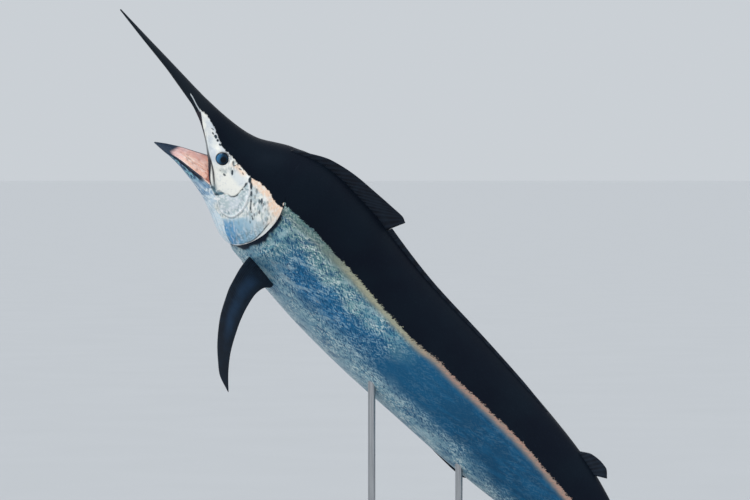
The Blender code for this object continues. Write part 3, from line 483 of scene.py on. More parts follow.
def fleck(s, z, at, height, long, wide, lean, rough):
    """Worn spot with its middle at a station and height; long and wide in metres, lean in degrees."""
    u, v = (s - at) * LENGTH, (z - height) * LENGTH
    c, q = math.cos(math.radians(lean)), math.sin(math.radians(lean))
    d = np.hypot((u * c + v * q) / long, (v * c - u * q) / wide)
    return fade(d + 0.9 * (rough - 0.5), 0.75, 1.2)


class HeadFields:
    """Noises, angles in degrees and distances in metres that the markings of the head are made from."""

    def __init__(self, s, y, z):
        m = metres(s, y, z)
        self.s, self.z = s, z
        self.coarse, self.mid, self.fine = lumps(*m, 0.05, 1), lumps(*m, 0.018, 2), lumps(*m, 0.008, 3)
        self.small = lumps(*m, 0.009, 4)
        self.grain = 0.5 * self.fine + 0.5 * self.mid
        run, cross = (s * 0.85 - z * 0.53) * LENGTH, (s * 0.53 + z * 0.85) * LENGTH
        self.scratch = lumps(run / 3.6, cross, y * LENGTH, 0.0062, 8)
        self.bright = lumps(run / 3.2, cross, y * LENGTH, 0.0068, 9)
        self.angle = angle_of(s, z)
        self.to_edge = (gill_line(self.angle) - s) * LENGTH
        self.edge, self.pre, self.bearing = cheek_polar(s, z)
        self.below = (dark_line(s) - z) * LENGTH + 0.01 * (self.mid - 0.5)
        self.lip = (z - upper_lip(s)) * LENGTH
        self.from_eye = eye_distance(s, z)


def white_cheek(h):
    """Cream skin with pale shades, peach and smudged behind the eye."""
    ahead_of_eye = fade(h.s, 0.085, 0.1)
    colour = Coat(CREAM, h.s)
    colour.over(PALE_BLUE, 0.7 * ease(h.coarse, 0.5, 0.8))
    colour.over(SHADED, 0.3 * ease(h.fine, 0.5, 0.85) * ease(h.mid, 0.3, 0.6))
    colour.over(SHADED, 0.5 * bell(h.lip - 0.03, 0.018) * ahead_of_eye * ease(h.mid, 0.3, 0.65))
    colour.over(SHADED, 0.25 * bell(h.from_eye - EYE_RADIUS * 1.15, 0.006) * ahead_of_eye)
    brow = ease(h.s, 0.03, 0.05) * fade(h.s, 0.08, 0.09)
    colour.over(SHADED, 0.6 * fade(h.below, 0.004, 0.02) * brow)
    # peach skin behind the eye, under the dark brow
    blush = ease(h.s, 0.1, 0.106) * fade(h.s, 0.122, 0.13) * ease(h.mid, 0.2, 0.5)
    colour.over(PEACH, 0.9 * bell(h.below - 0.012, 0.014) * blush)
    # smudges behind the eye
    smudge = ease(h.s, EYE_STATION, EYE_STATION + 0.012) * ease(h.z, -0.022, -0.01)
    smudge = smudge * ease(h.scratch, 0.46, 0.66)
    colour.over(SCRATCH, 0.5 * smudge * bell(h.from_eye - EYE_RADIUS * 1.8, 0.022))
    return colour


def cheek_plate(h):
    """Grey plate behind the cheek, inside the preopercle."""
    plate = Coat(PLATE_GREY, h.s)
    plate.over(PALE_BLUE, ease(h.mid, 0.35, 0.7))
    plate.over(WHITE, 0.6 * ease(h.fine, 0.45, 0.8))
    plate.over(TEAL, 0.45 * ease(h.small, 0.55, 0.85) * ease(h.pre, -0.05, -0.02))
    plate.over(SCRATCH, 0.35 * ease(h.scratch, 0.55, 0.72) * ease(h.pre, -0.045, -0.02))
    return plate


def gill_cover(h):
    """Peach under the dark back, cream and grey, then blue towards the lower rear."""
    # height over the slanting line under which the cover turns blue
    fall = h.z + 0.018 + 3.7 * np.maximum(0.1805 - h.s, 0)
    fall = fall + 0.008 * (h.coarse - 0.5) + 0.008 * (h.scratch - 0.5)
    shade = Coat(GILL_GREY, h.s)
    shade.over(GILL_CREAM, ease(h.mid, 0.38, 0.62))
    half = 0.03 + 0.038 * ease(h.s, 0.17, 0.203) + 0.012 * (h.scratch - 0.5)
    peach = fade(h.below, 0.7 * half, 1.35 * half) * ease(h.s, 0.13, 0.137)
    rear_peach = 0.5 * fade(h.to_edge, 0.02, 0.05) * ease(h.angle, 70, 74) * fade(h.angle, 86, 96)
    shade.over(PEACH, np.maximum(peach, rear_peach))
    shade.over(CREAM, 0.5 * ease(h.fine, 0.5, 0.8) * ease(h.to_edge, 0.006, 0.02))
    shade.over(PALE_SKY, fade(fall, -0.01, 0.01))
    sky = fade(fall, -0.034, -0.006) * ease(h.s, 0.16, 0.176) * (1 - 0.4 * ease(h.mid, 0.5, 0.7))
    shade.over(SKY, 0.75 * sky)
    deep = fade(h.z + 0.35 * (h.s - 0.19) + 0.006 * (h.coarse - 0.5), -0.064, -0.043) * ease(h.s, 0.168, 0.18)
    shade.over(DEEP_SKY, 0.9 * deep * (1 - 0.5 * ease(h.mid, 0.5, 0.7)))
    # fine scratches, dark and bright, that run down and back over the cover
    lower = fade(fall, 0.0, 0.01)
    rubbed = ease(h.s, 0.135, 0.15) * ease(h.coarse, 0.1, 0.45)
    shade.over(SCRATCH, (0.5 - 0.2 * lower) * rubbed * ease(h.scratch, 0.52, 0.7) * (1 - 0.7 * peach))
    shade.over(WHITE, (0.55 - 0.2 * lower) * rubbed * ease(h.bright, 0.54, 0.72) * (1 - 0.5 * peach))
    shade.over(TEAL, 0.35 * ease(h.s, 0.192, 0.204) * lower * ease(h.fine, 0.4, 0.6))
    return shade


def throat_over(h, colour, throat):
    """Pale throat, with the folds of its skin."""
    colour.over(THROAT, throat)
    colour.over(TEAL, 0.2 * throat * ease(h.mid, 0.5, 0.75))
    colour.over(WHITE, 0.45 * throat * ease(h.fine, 0.52, 0.72))
    under_corner = throat * fade(h.s, 0.122, 0.15)
    colour.over(JAW_BLUE, 0.8 * under_corner * ease(h.mid, 0.3, 0.55))
    colour.over(JAW_NAVY, 0.5 * under_corner * fade(h.fine, 0.3, 0.42))
    folds = 0.5 + 0.5 * np.cos((h.angle + 8 * (h.coarse - 0.5)) * 0.8)
    crease = ease(folds, 0.86, 0.97) * ease(h.angle, 138, 146) * (h.s < GILL_EDGE)
    colour.over(JAW_BLUE, 0.45 * throat * crease)


def creases_over(h, colour):
    """Crease behind the cheek, pale rim of the preopercle, and the broken line down the gill cover."""
    crease = bell(h.edge - 0.001, 0.0042) * fade(h.bearing, 58, 72) * fade(-h.bearing, 60, 95)
    colour.over(DASH, crease * (0.5 + 0.5 * ease(h.bearing, -40, -10)) * ease(h.grain, 0.3, 0.46))
    rim = bell(h.pre + 0.0015, 0.005) * fade(np.abs(h.bearing), 74, 94)
    colour.over(WHITE, 0.95 * rim * ease(h.fine, 0.05, 0.3))
    shadow = bell(h.pre - 0.008, 0.0036) * fade(np.abs(h.bearing), 55, 75)
    colour.over(TEAL, 0.5 * shadow * ease(h.mid, 0.3, 0.6))
    d, share = line_distance(h.s, h.z, GILL_DASHES)
    worn = ease(h.grain, 0.3 + 0.14 * share, 0.4 + 0.24 * share)
    colour.over(DASH, 0.95 * worn * bell(d, 0.0055 - 0.002 * share) * fade(share, 0.93, 1.0))


def marks_over(h, colour):
    """Dark flecks, the shadows round the mouth corner, and the white skin behind them."""
    for tint, marks in ((DASH, HEAD_MARKS), (TEAL, CORNER_MARKS), (DASH, CORNER_HEARTS)):
        for *mark, strength in marks:
            colour.over(tint, strength * fleck(h.s, h.z, *mark, h.grain))
    colour.over(WHITE, 0.95 * fleck(h.s, h.z, *CORNER_WHITE, h.grain))


def lips_over(h, colour):
    """Dark edge of the lip, and the line along the maxilla."""
    thick = 0.006 + 0.017 * fade(h.s, 0.012, 0.04) + 0.009 * bell(h.s - 0.09, 0.016)
    on_lip = fade(h.s, 0.113, 0.119) * fade(h.lip, thick, thick + 0.003) * ease(h.lip, -0.008, -0.004)
    colour.over(LIP_DARK, ease(h.s, -0.03, -0.02) * on_lip * (1 - 0.35 * bell(h.s - 0.062, 0.014)))
    d, share = line_distance(h.s, h.z, MAXILLA)
    colour.over(SCRATCH, 0.5 * bell(d - 0.002, 0.009) * ease(share, 0.62, 0.8) * fade(share, 0.9, 1.0))
    thread = bell(d, 0.0036 + 0.0024 * bell(share - 0.6, 0.13))
    colour.over(LIP_DARK, thread * ease(share, 0.28, 0.4) * fade(share, 0.7, 0.86))


def rims_over(h, colour):
    """Rims of the eye and of the gill cover."""
    above = np.clip((h.z - EYE_HEIGHT) * LENGTH / EYE_RADIUS + 0.3, 0, 1) * (h.s > EYE_STATION - 0.006)
    colour.over(SHADED, 0.35 * bell(h.from_eye - EYE_RADIUS, 0.004))
    colour.over(WHITE, 0.7 * above * bell(h.from_eye - EYE_RADIUS * 1.08, 0.004))
    lid = np.clip((h.z - EYE_HEIGHT) * LENGTH / EYE_RADIUS, 0, 1)
    lid = lid * fade(h.from_eye, EYE_RADIUS, EYE_RADIUS * 1.14)
    colour.over(DASH, 0.8 * lid * ease(h.grain, 0.25, 0.45))
    colour.over(NAVY, fade(h.from_eye, EYE_RADIUS * 0.84, EYE_RADIUS * 0.93))
    offset = 0.0035 + 0.017 * fade(h.angle, 90, 116)
    rear = (h.to_edge < 0.04) & (h.to_edge > -0.02)
    along_rim = rear * ease(h.angle, 84, 90) * fade(h.angle, 138, 146)
    colour.over(GILL_CREAM, 0.75 * along_rim * fade(h.to_edge, offset - 0.002, offset))
    colour.over(WHITE, along_rim * fade(h.to_edge, 0.005, 0.008))
    inner = bell(h.to_edge - offset - 0.0015, 0.0034) * ease(h.angle, 85, 91) * fade(h.angle, 126, 136)
    colour.over(DASH, 0.95 * inner * ease(h.mid, 0.22, 0.42))


def head_paint(s, y, z, gap):
    """Colour of the pale parts of the head; gap is 1 in the parting behind the gill cover, which gets dark
    skin and painted shade.
    """
    h = HeadFields(s, y, z)
    colour = white_cheek(h)
    behind = ease(h.edge + 0.004 * (h.mid - 0.5), -0.001, 0.002) * fade(np.abs(h.bearing), 100, 125)
    colour.over(cheek_plate(h).rgb, behind)
    cover = ease(h.pre, 0.0, 0.004) * fade(h.bearing, 90, 112) * fade(-h.bearing, 56, 70)
    cover = cover * ease((z - cover_low(s)) * LENGTH, -0.002, 0.002)
    colour.over(gill_cover(h).rgb, cover)
    throat_over(h, colour, ease(h.angle, 112, 124) * (1 - cover) * (1 - behind * fade(h.pre, 0.0, 0.004)))
    creases_over(h, colour)
    marks_over(h, colour)
    lips_over(h, colour)
    rims_over(h, colour)
    colour.over(STREAK, pale_cuts(s, z))
    # dark skin and painted shade in the parting behind the gill cover
    colour.over(GAP_DARK_AND_SHADE, gap)
    return colour.rgb


def jaw_paint(s, y, z):
    """Colour of the outside of the lower jaw."""
    m = metres(s, y, z)
    mid, fine = lumps(*m, 0.016, 21), lumps(s * LENGTH / 1.8, y * LENGTH, z * LENGTH, 0.0075, 22)
    up = (z - jaw_bottom(s)) / np.maximum(jaw_rim(s) - jaw_bottom(s), 1e-4)
    ahead = fade(s, 0.09, 0.124)
    colour = Coat(THROAT, s)
    colour.over(JAW_BLUE, 0.25 + 0.6 * ahead)
    ahead = ahead * ease(up, 0.1, 0.45)
    colour.over(TEAL, 0.9 * ease(mid, 0.36, 0.56) * ahead)
    colour.over(BRIGHT_TEAL, ease(fine, 0.54, 0.66) * ahead)
    colour.over(JAW_NAVY, 0.95 * fade(fine, 0.38, 0.48) * ahead)
    colour.over(PALE_BLUE, 0.5 * (1 - ahead) * ease(fine, 0.5, 0.7))
    colour.over(JAW_BLUE, 0.8 * (1 - ahead) * bell(up - 0.6, 0.2) * ease(mid, 0.3, 0.5))
    colour.over(NAVY_SOFT, fade(up, 0.05, 0.22) * fade(s, 0.066, 0.082))
    colour.over(NAVY, 0.95 * ease(up, 0.77, 0.86) * fade(s, 0.102, 0.112))
    colour.over(NAVY_SOFT, fade(s + 0.008 * (mid - 0.5), 0.048, 0.06))
    return colour.rgb


def grid_quads(index, flip=False):
    """Four-sided faces between the points of a grid."""
    a, b, c, d = index[:-1, :-1], index[:-1, 1:], index[1:, 1:], index[1:, :-1]
    return np.stack([a, d, c, b] if flip else [a, b, c, d], -1).reshape(-1, 4)


def joined(grid):
    """Grid with its first column once more at its end, so that it closes round the body."""
    return np.concatenate([grid, grid[:, :1]], axis=1)


def shown(name, data):
    obj = bpy.data.objects.new(name, data)
    bpy.context.scene.collection.objects.link(obj)
    return obj


ATTRIBUTE_KINDS = {1: ("FLOAT", "value"), 3: ("FLOAT_VECTOR", "vector"), 4: ("FLOAT_COLOR", "color")}


def piece(name, points, quads, **fields):
    """Smooth object of points and four-sided faces, with its fields stored at the points."""
    mesh = bpy.data.meshes.new(name)
    mesh.vertices.add(len(points))
    mesh.vertices.foreach_set("co", points.astype(np.float32).ravel())
    mesh.loops.add(quads.size)
    mesh.loops.foreach_set("vertex_index", quads.astype(np.int32).ravel())
    mesh.polygons.add(len(quads))
    mesh.polygons.foreach_set("loop_start", np.arange(0, quads.size, 4, dtype=np.int32))
    mesh.polygons.foreach_set("use_smooth", np.ones(len(quads), bool))
    mesh.update(calc_edges=True)
    mesh.validate()
    for key, values in fields.items():
        kind, entry = ATTRIBUTE_KINDS[values.size // len(points)]
        stored = mesh.attributes.new(key, kind, "POINT").data
        stored.foreach_set(entry, values.astype(np.float32).ravel())
    return shown(name, mesh)


class Skin:
    """Gathers grids of points with their fields, and makes one mesh of them."""

    def __init__(self):
        self.world, self.faces, self.count = [], [], 0
        self.fields = {key: [] for key in ("fish", "dark", "silver", "trunk", "mouth", "gap", "paint")}

    def points(self, world, s, y, z, paint, trunk, mouth, gap=0.0):
        """Adds a grid of world points, at s, y and z in the straight fish; returns their indices."""
        values = {"fish": np.stack([s, y, z], -1) * LENGTH,
                  "dark": (z - dark_line(s)) * LENGTH - PALE_CUT_DEPTH * pale_cuts(s, z),
                  "silver": (z - silver_line(s)) * LENGTH, "trunk": trunk, "mouth": mouth, "gap": gap,
                  "paint": np.concatenate([paint, np.ones(s.shape + (1,))], -1)}
        for key, value in values.items():
            whole = np.broadcast_to(value, s.shape + np.shape(value)[2:])
            self.fields[key].append(whole.reshape(s.size, -1))
        self.world.append(world.reshape(-1, 3))
        first = self.count
        self.count += s.size
        return first + np.arange(s.size).reshape(s.shape)

    def grid(self, s, y, z, rise, paint, trunk, mouth, out=(0.0, 0.0), gap=0.0):
        """Adds points of the plain skin, which rise lifts along out, a side and height pair."""
        world = place(s, y + out[0] * rise / LENGTH, z + out[1] * rise / LENGTH)
        return self.points(world, s, y, z, paint, trunk, mouth, gap)

    def quads(self, index, flip=False):
        self.faces.append(grid_quads(index, flip))

    def even_out(self, world):
        """Rounds the fold where the outside of the jaw runs into the throat."""
        rows, columns = self.smooth.shape
        along = 1 - np.abs(np.linspace(-1, 1, rows))
        across = np.clip(np.minimum(np.arange(columns), np.arange(columns)[::-1]) / 14, 0, 1)
        weight = (ease(along, 0.0, 0.5)[:, None] * ease(across, 0.0, 1.0)[None, :])[1:-1, :, None]
        for _ in range(SMOOTH_ROUNDS):
            patch = world[self.smooth]
            patch[1:-1] += weight * 0.5 * ((patch[:-2] + patch[2:]) / 2 - patch[1:-1])
            world[self.smooth] = patch

    def build(self, name):
        world = np.concatenate(self.world)
        self.even_out(world)
        fields = {key: np.concatenate(parts) for key, parts in self.fields.items()}
        return piece(name, world, np.concatenate(self.faces), **fields)


def warped(s, folded):
    """Stations of rows, drawn forward near the gill cover to follow its edge."""
    ahead = (s - WARP_START) / (GILL_EDGE - WARP_START)
    behind = (WARP_END - s) / (WARP_END - GILL_EDGE)
    pull = np.clip(np.minimum(ahead, behind), 0, 1)
    return s + pull * (gill_line(folded) - GILL_EDGE)


def normals_2d(y, z):
    """Outward directions in the cross-section, from rows of points that run round it."""
    ty, tz = np.gradient(y, axis=1), np.gradient(z, axis=1)
    size = np.maximum(np.hypot(ty, tz), 1e-9)
    return -tz / size, ty / size


def row_plan():
    """Rows behind the mouth corner: station, how much it is sunk, shift aft in metres, 1 in the parting."""
    rows = [(s, 0.0, 0.0, 0.0) for s in np.linspace(MOUTH_CORNER, GILL_EDGE - 0.0022, 230)]
    for order, (aft, sunk, inside) in enumerate(GILL_FOLD):
        base = GILL_EDGE - 0.0016 + 0.0004 * order
        rows.append((base, sunk, aft - (base - GILL_EDGE) * LENGTH, inside))
    rows += [(s, 1.0, 0.0, 0.0) for s in np.linspace(GILL_EDGE + 0.0019, GILL_EDGE + 0.032, 26)]
    rows += [(s, 1.0, 0.0, 0.0) for s in np.linspace(GILL_EDGE + 0.034, TAIL_END, 330)]
    return np.array(rows)


def trunk_grid(skin):
    """Whole rings from the mouth corner to the tail; returns the indices of their points."""
    upper = np.linspace(-LIP_BEHIND, LIP_BEHIND, UPPER_COLUMNS)
    lower = np.linspace(LIP_BEHIND, 2 * math.pi - LIP_BEHIND, LOWER_COLUMNS)[1:-1]
    phi = np.concatenate([upper, lower])[None, :]
    folded = np.degrees(np.minimum(np.abs(phi), 2 * math.pi - np.abs(phi)))
    base, sinking, aft, inside = (column[:, None] for column in row_plan().T)
    side = np.clip((folded - 60) / 20, 0, 1)
    s = warped(base, folded) + aft / LENGTH * side
    y, z = section(s, phi)
    past = s - gill_line(folded)
    sunk = GILL_STEP * side * np.clip(1 - past / GILL_FADE, 0, 1) ** 0.7 * sinking
    mid = widest(s)
    ratio = 1 - sunk / np.maximum(np.hypot(y, z), 1e-4)
    y, z = y * ratio, mid + (z - mid) * ratio
    out = [v[:, 1:-1] for v in normals_2d(*(np.hstack([v[:, -1:], joined(v)]) for v in (y, z)))]
    on_head = (past <= 0.0001) & (sinking < 0.5)
    rise = np.where(on_head | (s > 0.5), relief(s, z), 0.0)
    # dark skin and painted shade: in the parting behind the gill cover, and in a ragged band aft of it under
    # the cover's edge
    gap = inside * side
    trunk = np.where(on_head, 0.0, 1.0) * ease(base, GILL_EDGE - 0.001, GILL_EDGE + 0.0005)
    ragged = 0.03 * (lumps(*metres(s, y, z), 0.022, 31) - 0.5)
    reach = 0.03 + 0.006 * ease(folded, 84, 100)
    shade = (past > 0) * fade(past * LENGTH + ragged, reach * 0.6, reach + 0.006)
    shade = np.maximum(gap, shade * ease(folded, 70, 78) * (sinking > 0.5))
    paint = over(head_paint(s, y, z, gap), GAP_DARK_AND_SHADE, shade)
    index = skin.grid(s, y, z, rise, paint, trunk, 0.0, out, shade)
    skin.throat_paint = np.concatenate([paint[:1, UPPER_COLUMNS - 1:], paint[:1, :1]], axis=1)
    skin.quads(joined(index), flip=True)
    s, y, z, rise, paint, *out = (v[-1:] for v in (s, y, z, rise, paint, *out))
    cap = skin.grid(s, y, z, rise, paint, 1.0, 0.0, out)
    plug = skin.grid(s + 0.006, 0 * y, 0 * z, 0.0, paint, 1.0, 0.0)
    skin.quads(joined(np.vstack([cap, plug])), flip=True)
    return index


def upper_grid(skin, ring):
    """Bill and upper head ahead of the mouth corner, then the palate under them."""
    s = np.concatenate([[BILL_TIP], np.linspace(-0.1679, -0.15, 14)[:-1], np.linspace(-0.15, -0.02, 76)[:-1],
                        np.linspace(-0.02, MOUTH_CORNER, 300)[:-1]])[:, None]
    phi = np.linspace(-1, 1, UPPER_COLUMNS) * lip_angle(s)
    y, z = section(s, phi)
    s = s + 0 * phi
    y, z = np.where(s > BILL_TIP, y, 0.0), np.where(s > BILL_TIP, z, 0.0055)
    out = normals_2d(y, z)
    rise = relief(s, z)
    index = skin.grid(s, y, z, rise, head_paint(s, y, z, 0 * s), 0.0, 0.0, out)
    skin.quads(np.vstack([index, ring[:1, :UPPER_COLUMNS]]), flip=True)
    # palate: from lip to lip, arched, running back into the throat
    inner = np.linspace(MOUTH_CORNER, THROAT_END, THROAT_ROWS)
    deep = (inner - MOUTH_CORNER) / (THROAT_END - MOUTH_CORNER)
    corner_y, corner_z = section(np.array(MOUTH_CORNER), np.array(LIP_BEHIND))
    edge_y, edge_z = (v[:, -1] + n[:, -1] * rise[:, -1] / LENGTH for v, n in zip((y, z), out))
    edge_y = np.concatenate([edge_y, corner_y * (1 - 0.6 * deep)])
    edge_z = np.concatenate([edge_z, corner_z - 0.004 * deep])
    arched = 1 - np.concatenate([0 * y[:, 0], deep]) ** 3
    s, t = np.meshgrid(np.concatenate([s[:, 0], inner]), np.linspace(-1, 1, 41), indexing="ij")
    arch = 0.006 * np.clip(s / 0.08, 0, 1) * arched[:, None]
    y = edge_y[:, None] * t
    z = edge_z[:, None] + arch * (1 - t**2) - 0.0012 * np.clip(s / 0.02, 0, 1) * bell(np.abs(t) - 0.8, 0.1)
    streak = lumps(s * LENGTH / 4, y * LENGTH, 0 * s, 0.007, 42)
    colour = Coat(PINK, s)
    colour.over(PINK_DEEP, 0.4 * ease(lumps(*metres(s, y, z), 0.04, 41), 0.3, 0.9))
    colour.over(PALATE_STREAK, 0.5 * ease(streak, 0.55, 0.8))
    colour.over(PALATE_RIM, ease(np.abs(t), 0.7, 0.9) * (s < MOUTH_CORNER))
    colour.over(DASH, ease(np.abs(t), 0.9, 0.98) * (s < MOUTH_CORNER))
    colour.over(NAVY, fade(s, -0.01, 0.03))
    colour.over(PINK_DEEP, ease(s, 0.1, 0.14))
    skin.quads(skin.grid(s, y, z, 0 * s, colour.rgb, 0.0, 1.0))
    return edge_y[-THROAT_ROWS:], edge_z[-THROAT_ROWS:], inner


def jaw_grid(skin, ring, inner_edges):
    """Lower jaw: outside, rims and the hollow floor, which runs back into the throat."""
    edge_y, edge_z, inner = inner_edges
    stations = np.concatenate([[JAW_TIP], JAW_TIP + 0.012 * np.linspace(0.02, 1, 16) ** 1.5,
                               np.linspace(0.0452, MOUTH_CORNER, 150)[:-1]])
    s = stations[:, None]
    theta = np.linspace(LIP_BEHIND, 2 * math.pi - LIP_BEHIND, LOWER_COLUMNS)
    high, deep, wide = jaw_rim(s), jaw_bottom(s), jaw_width(s)
    share = (np.cos(theta) - math.cos(LIP_BEHIND)) / (-1 - math.cos(LIP_BEHIND))
    y = wide * np.sign(np.sin(theta)) * (np.abs(np.sin(theta)) / math.sin(LIP_BEHIND)) ** 0.9
    z = high + (deep - high) * share
    s = s + 0 * theta
    rise = 0.002 * bell((high - z) * LENGTH - 0.008, 0.006) * ease(s, 0.045, 0.06) * fade(s, 0.1, 0.114)
    paint = over(jaw_paint(s, y, z), skin.throat_paint, ease(s, 0.102, MOUTH_CORNER))
    index = skin.grid(s, y, z, rise, paint, 0.0, 0.0, normals_2d(y, z))
    # lower columns of the ring, both ends shared with the upper ones
    behind = np.concatenate([ring[:SMOOTH_ROWS, UPPER_COLUMNS - 1:], ring[:SMOOTH_ROWS, :1]], axis=1)
    skin.quads(np.vstack([index, behind[:1]]), flip=True)
    skin.smooth = np.vstack([index[-SMOOTH_ROWS:], behind])
    # floor of the mouth, from rim to rim
    rim_y, rim_z = np.concatenate([y[:, 0], edge_y])[:, None], np.concatenate([z[:, 0], edge_z])[:, None]
    s, t = np.meshgrid(np.concatenate([stations, inner]), np.linspace(-1, 1, 61), indexing="ij")
    inward = np.clip((s - MOUTH_CORNER) / (THROAT_END - MOUTH_CORNER), 0, 1)
    fore = np.minimum(s, MOUTH_CORNER)
    hollow = 0.45 * (jaw_rim(fore) - jaw_bottom(fore)) * (1 - inward**2)
    bowl = 1 - np.clip(np.abs(t) / (0.84 + 0.1 * ease(s, 0.08, 0.12)), 0, 1) ** 4
    tongue = 0.0042 * bell(t, 0.34) * ease(s, 0.062, 0.08) * fade(s, 0.13, 0.15) * (1 - inward)
    folds = 0.0004 * np.sin(t * 34 + 9 * (s - 0.05) / 0.05) * ease(s, 0.05, 0.07) * bowl
    lip_round = 0.0012 * bell(np.abs(t) - 0.93, 0.05) * (1 - inward) * ease(s, 0.036, 0.05)
    y, z = rim_y * t, rim_z - hollow * bowl + tongue + folds + lip_round
    m = metres(s, y, z)
    streak = lumps(s * LENGTH / 5, y * LENGTH, 0 * s, 0.008, 51)
    colour = Coat(PINK, s)
    colour.over(GUM_STREAK, ease(streak, 0.42, 0.66))
    colour.over(PINK_DEEP, 0.25 * ease(lumps(*m, 0.03, 52), 0.45, 0.8))
    colour.over(GUM_BROWN, 0.5 * ease(lumps(*m, 0.016, 53), 0.52, 0.72) * bowl)
    colour.over(MAUVE, 0.5 * ease(np.abs(t), 0.5, 0.8) * fade(s, 0.1, 0.112))
    colour.over(MAUVE, 0.6 * fade(s, 0.06, 0.085))
    colour.over(PINK_DEEP, ease(s, 0.114, 0.13))
    colour.over(RIM_GREY, ease(np.abs(t), 0.86, 0.93) * fade(s, 0.1, 0.112))
    colour.over(NAVY_SOFT, fade(s - 0.006 * np.abs(t), 0.054, 0.062))
    skin.quads(skin.grid(s, y, z, 0 * s, colour.rgb, 0.0, 1.0), flip=True)


def eye_frame(side):
    """Middle of the eye on the skin, and its directions aft, up and out."""
    def on_skin(aft, up):
        s, z = EYE_STATION + aft, EYE_HEIGHT + up
        return place(s, side * skin_side(s, z), z)

    aft = Vector(on_skin(EYE_STEP, 0) - on_skin(-EYE_STEP, 0)).normalized()
    rise = Vector(on_skin(0, EYE_STEP) - on_skin(0, -EYE_STEP))
    out = aft.cross(rise).normalized()
    if out.dot(Vector(axes(np.array(EYE_STATION))[1])) * side < 0:
        out = -out
    up = out.cross(aft)
    if up.dot(rise) < 0:
        up = -up
    return on_skin(0, 0), *(np.array(v) for v in (aft, up, out))


def eye_rim(skin, side):
    """Round lid that rises from the cheek and turns down to the eyeball."""
    out = eye_frame(side)[3]
    share, around = np.meshgrid(LID_RINGS, np.linspace(0, 2 * math.pi, 97), indexing="ij")
    s = EYE_STATION + EYE_RADIUS / LENGTH * share * np.cos(around)
    z = EYE_HEIGHT + EYE_RADIUS / LENGTH * share * np.sin(around)
    y = side * skin_side(s, z)
    brow, pocket = eye_relief(eye_distance(s, z))
    cheek = relief(s, z) + pocket - brow
    lift = curve(LID_PROFILE)(share) + brow + ease(share, 1.3, 1.8) * cheek
    world = place(s, y, z) + out * lift[..., None]
    skin.quads(skin.points(world, s, y, z, head_paint(s, y, z, 0 * s), 0.0, 0.0), flip=side > 0)


def make_skin():
    skin = Skin()
    ring = trunk_grid(skin)
    inner_edges = upper_grid(skin, ring)
    jaw_grid(skin, ring, inner_edges)
    for side in (1, -1):
        eye_rim(skin, side)
    return skin.build("marlin_skin")


def blade(first, second, rows, columns):
    """Grid between two edges, paired through their tables: shares both ways, the edges, and its places."""
    share, t = np.linspace(0, 1, rows)[:, None], np.linspace(0, 1, columns)[None, :]
    order, at = np.arange(len(first)), np.linspace(0, len(first) - 1, rows)
    edges = [np.stack([curve(np.column_stack([order, np.array(edge)[:, k]]))(at) for k in (0, 1)], -1)
             for edge in (first, second)]
    places = [edges[0][:, None, k] * (1 - t) + edges[1][:, None, k] * t for k in (0, 1)]
    return share, t, edges, places


def ray_wave(position, count):
    """Rounded ridges from 0 to 1, count of them over positions 0 to 1."""
    return np.abs(np.sin(np.pi * count * position)) ** 1.6


def thinned(distance, width, least):
    """Thickness near a free edge, from least at the edge to 1 at a width from it."""
    return np.clip(distance / width, least, 1) ** 0.5


def fin_mesh(name, centre, normal, half, along, across, ray):
    """Closed fin from a grid of middle points, its normals and half thickness; both faces alike."""
    index = np.arange(half.size).reshape(half.shape)
    rim = np.concatenate([index[0, :], index[1:, -1], index[-1, -2::-1], index[-2:0:-1, 0]])
    after = np.roll(rim, -1)
    border = np.stack([rim, rim + half.size, after + half.size, after], -1)
    quads = np.concatenate([grid_quads(index), grid_quads(index + half.size, True), border])
    points = np.vstack([(centre + sign * normal * half[..., None]).reshape(-1, 3) for sign in (1, -1)])
    fields = {key: np.tile(np.broadcast_to(values, half.shape).ravel(), 2)
              for key, values in (("ray", ray), ("along", along), ("across", across))}
    return piece(name, points, quads, **fields)


def pectoral_mesh(name, side):
    s, y, z = PECTORAL_ROOT
    front, left, up = axes(np.array(s))
    out = math.cos(PECTORAL_DROOP) * side * left - math.sin(PECTORAL_DROOP) * up
    share, t, _, (u, v) = blade(PECTORAL_LEAD, PECTORAL_TRAIL, 130, 127)
    u = 0.9995 * u
    ray = ray_wave(t + 0 * share, PECTORAL_RAYS)
    base = 0.008 * (1 - share) ** 0.8 + EDGE / 2
    profile = 0.35 + 0.65 * np.sin(np.pi * (0.08 + 0.9 * t**0.75))
    half = (base + RAY_HEIGHT * (1 - 0.7 * share) * ray) * profile + EDGE / 5
    half = half * thinned(np.minimum(t, 1 - t), 0.02, 0.25)
    bow = -PECTORAL_BOW * np.clip(u, 0, 1) ** 2
    spread = np.stack([u, v, bow], -1) @ np.stack([out, -front, up])
    centre = place(s, side * y, z) + spread * LENGTH
    return fin_mesh(name, centre, np.cross(out, -front), half, share, t, ray)


def median_mesh(name, base, crest, count, root):
    """Fin on the middle line with rays from its base to its crest."""
    share, t, _, (s, z) = blade(base, crest, count * 8 + 1, 26)
    ray = ray_wave(share + 0 * t, count)
    half = root / 2 * (1 - t) ** 0.8 + EDGE + RAY_HEIGHT * (1 - 0.75 * t) * ray
    half = half * thinned(np.minimum(share, 1 - share), 0.01, 0.3) * thinned(1 - t, 0.05, 0.35)
    return fin_mesh(name, place(s, 0.0, z), axes(s)[1], half, t, share, ray)


def both_lobes(values, sign=1):
    """Rows of the lower lobe, mirrored from the upper one's, and then those of the upper lobe."""
    return np.concatenate([(sign * values)[:0:-1], values])


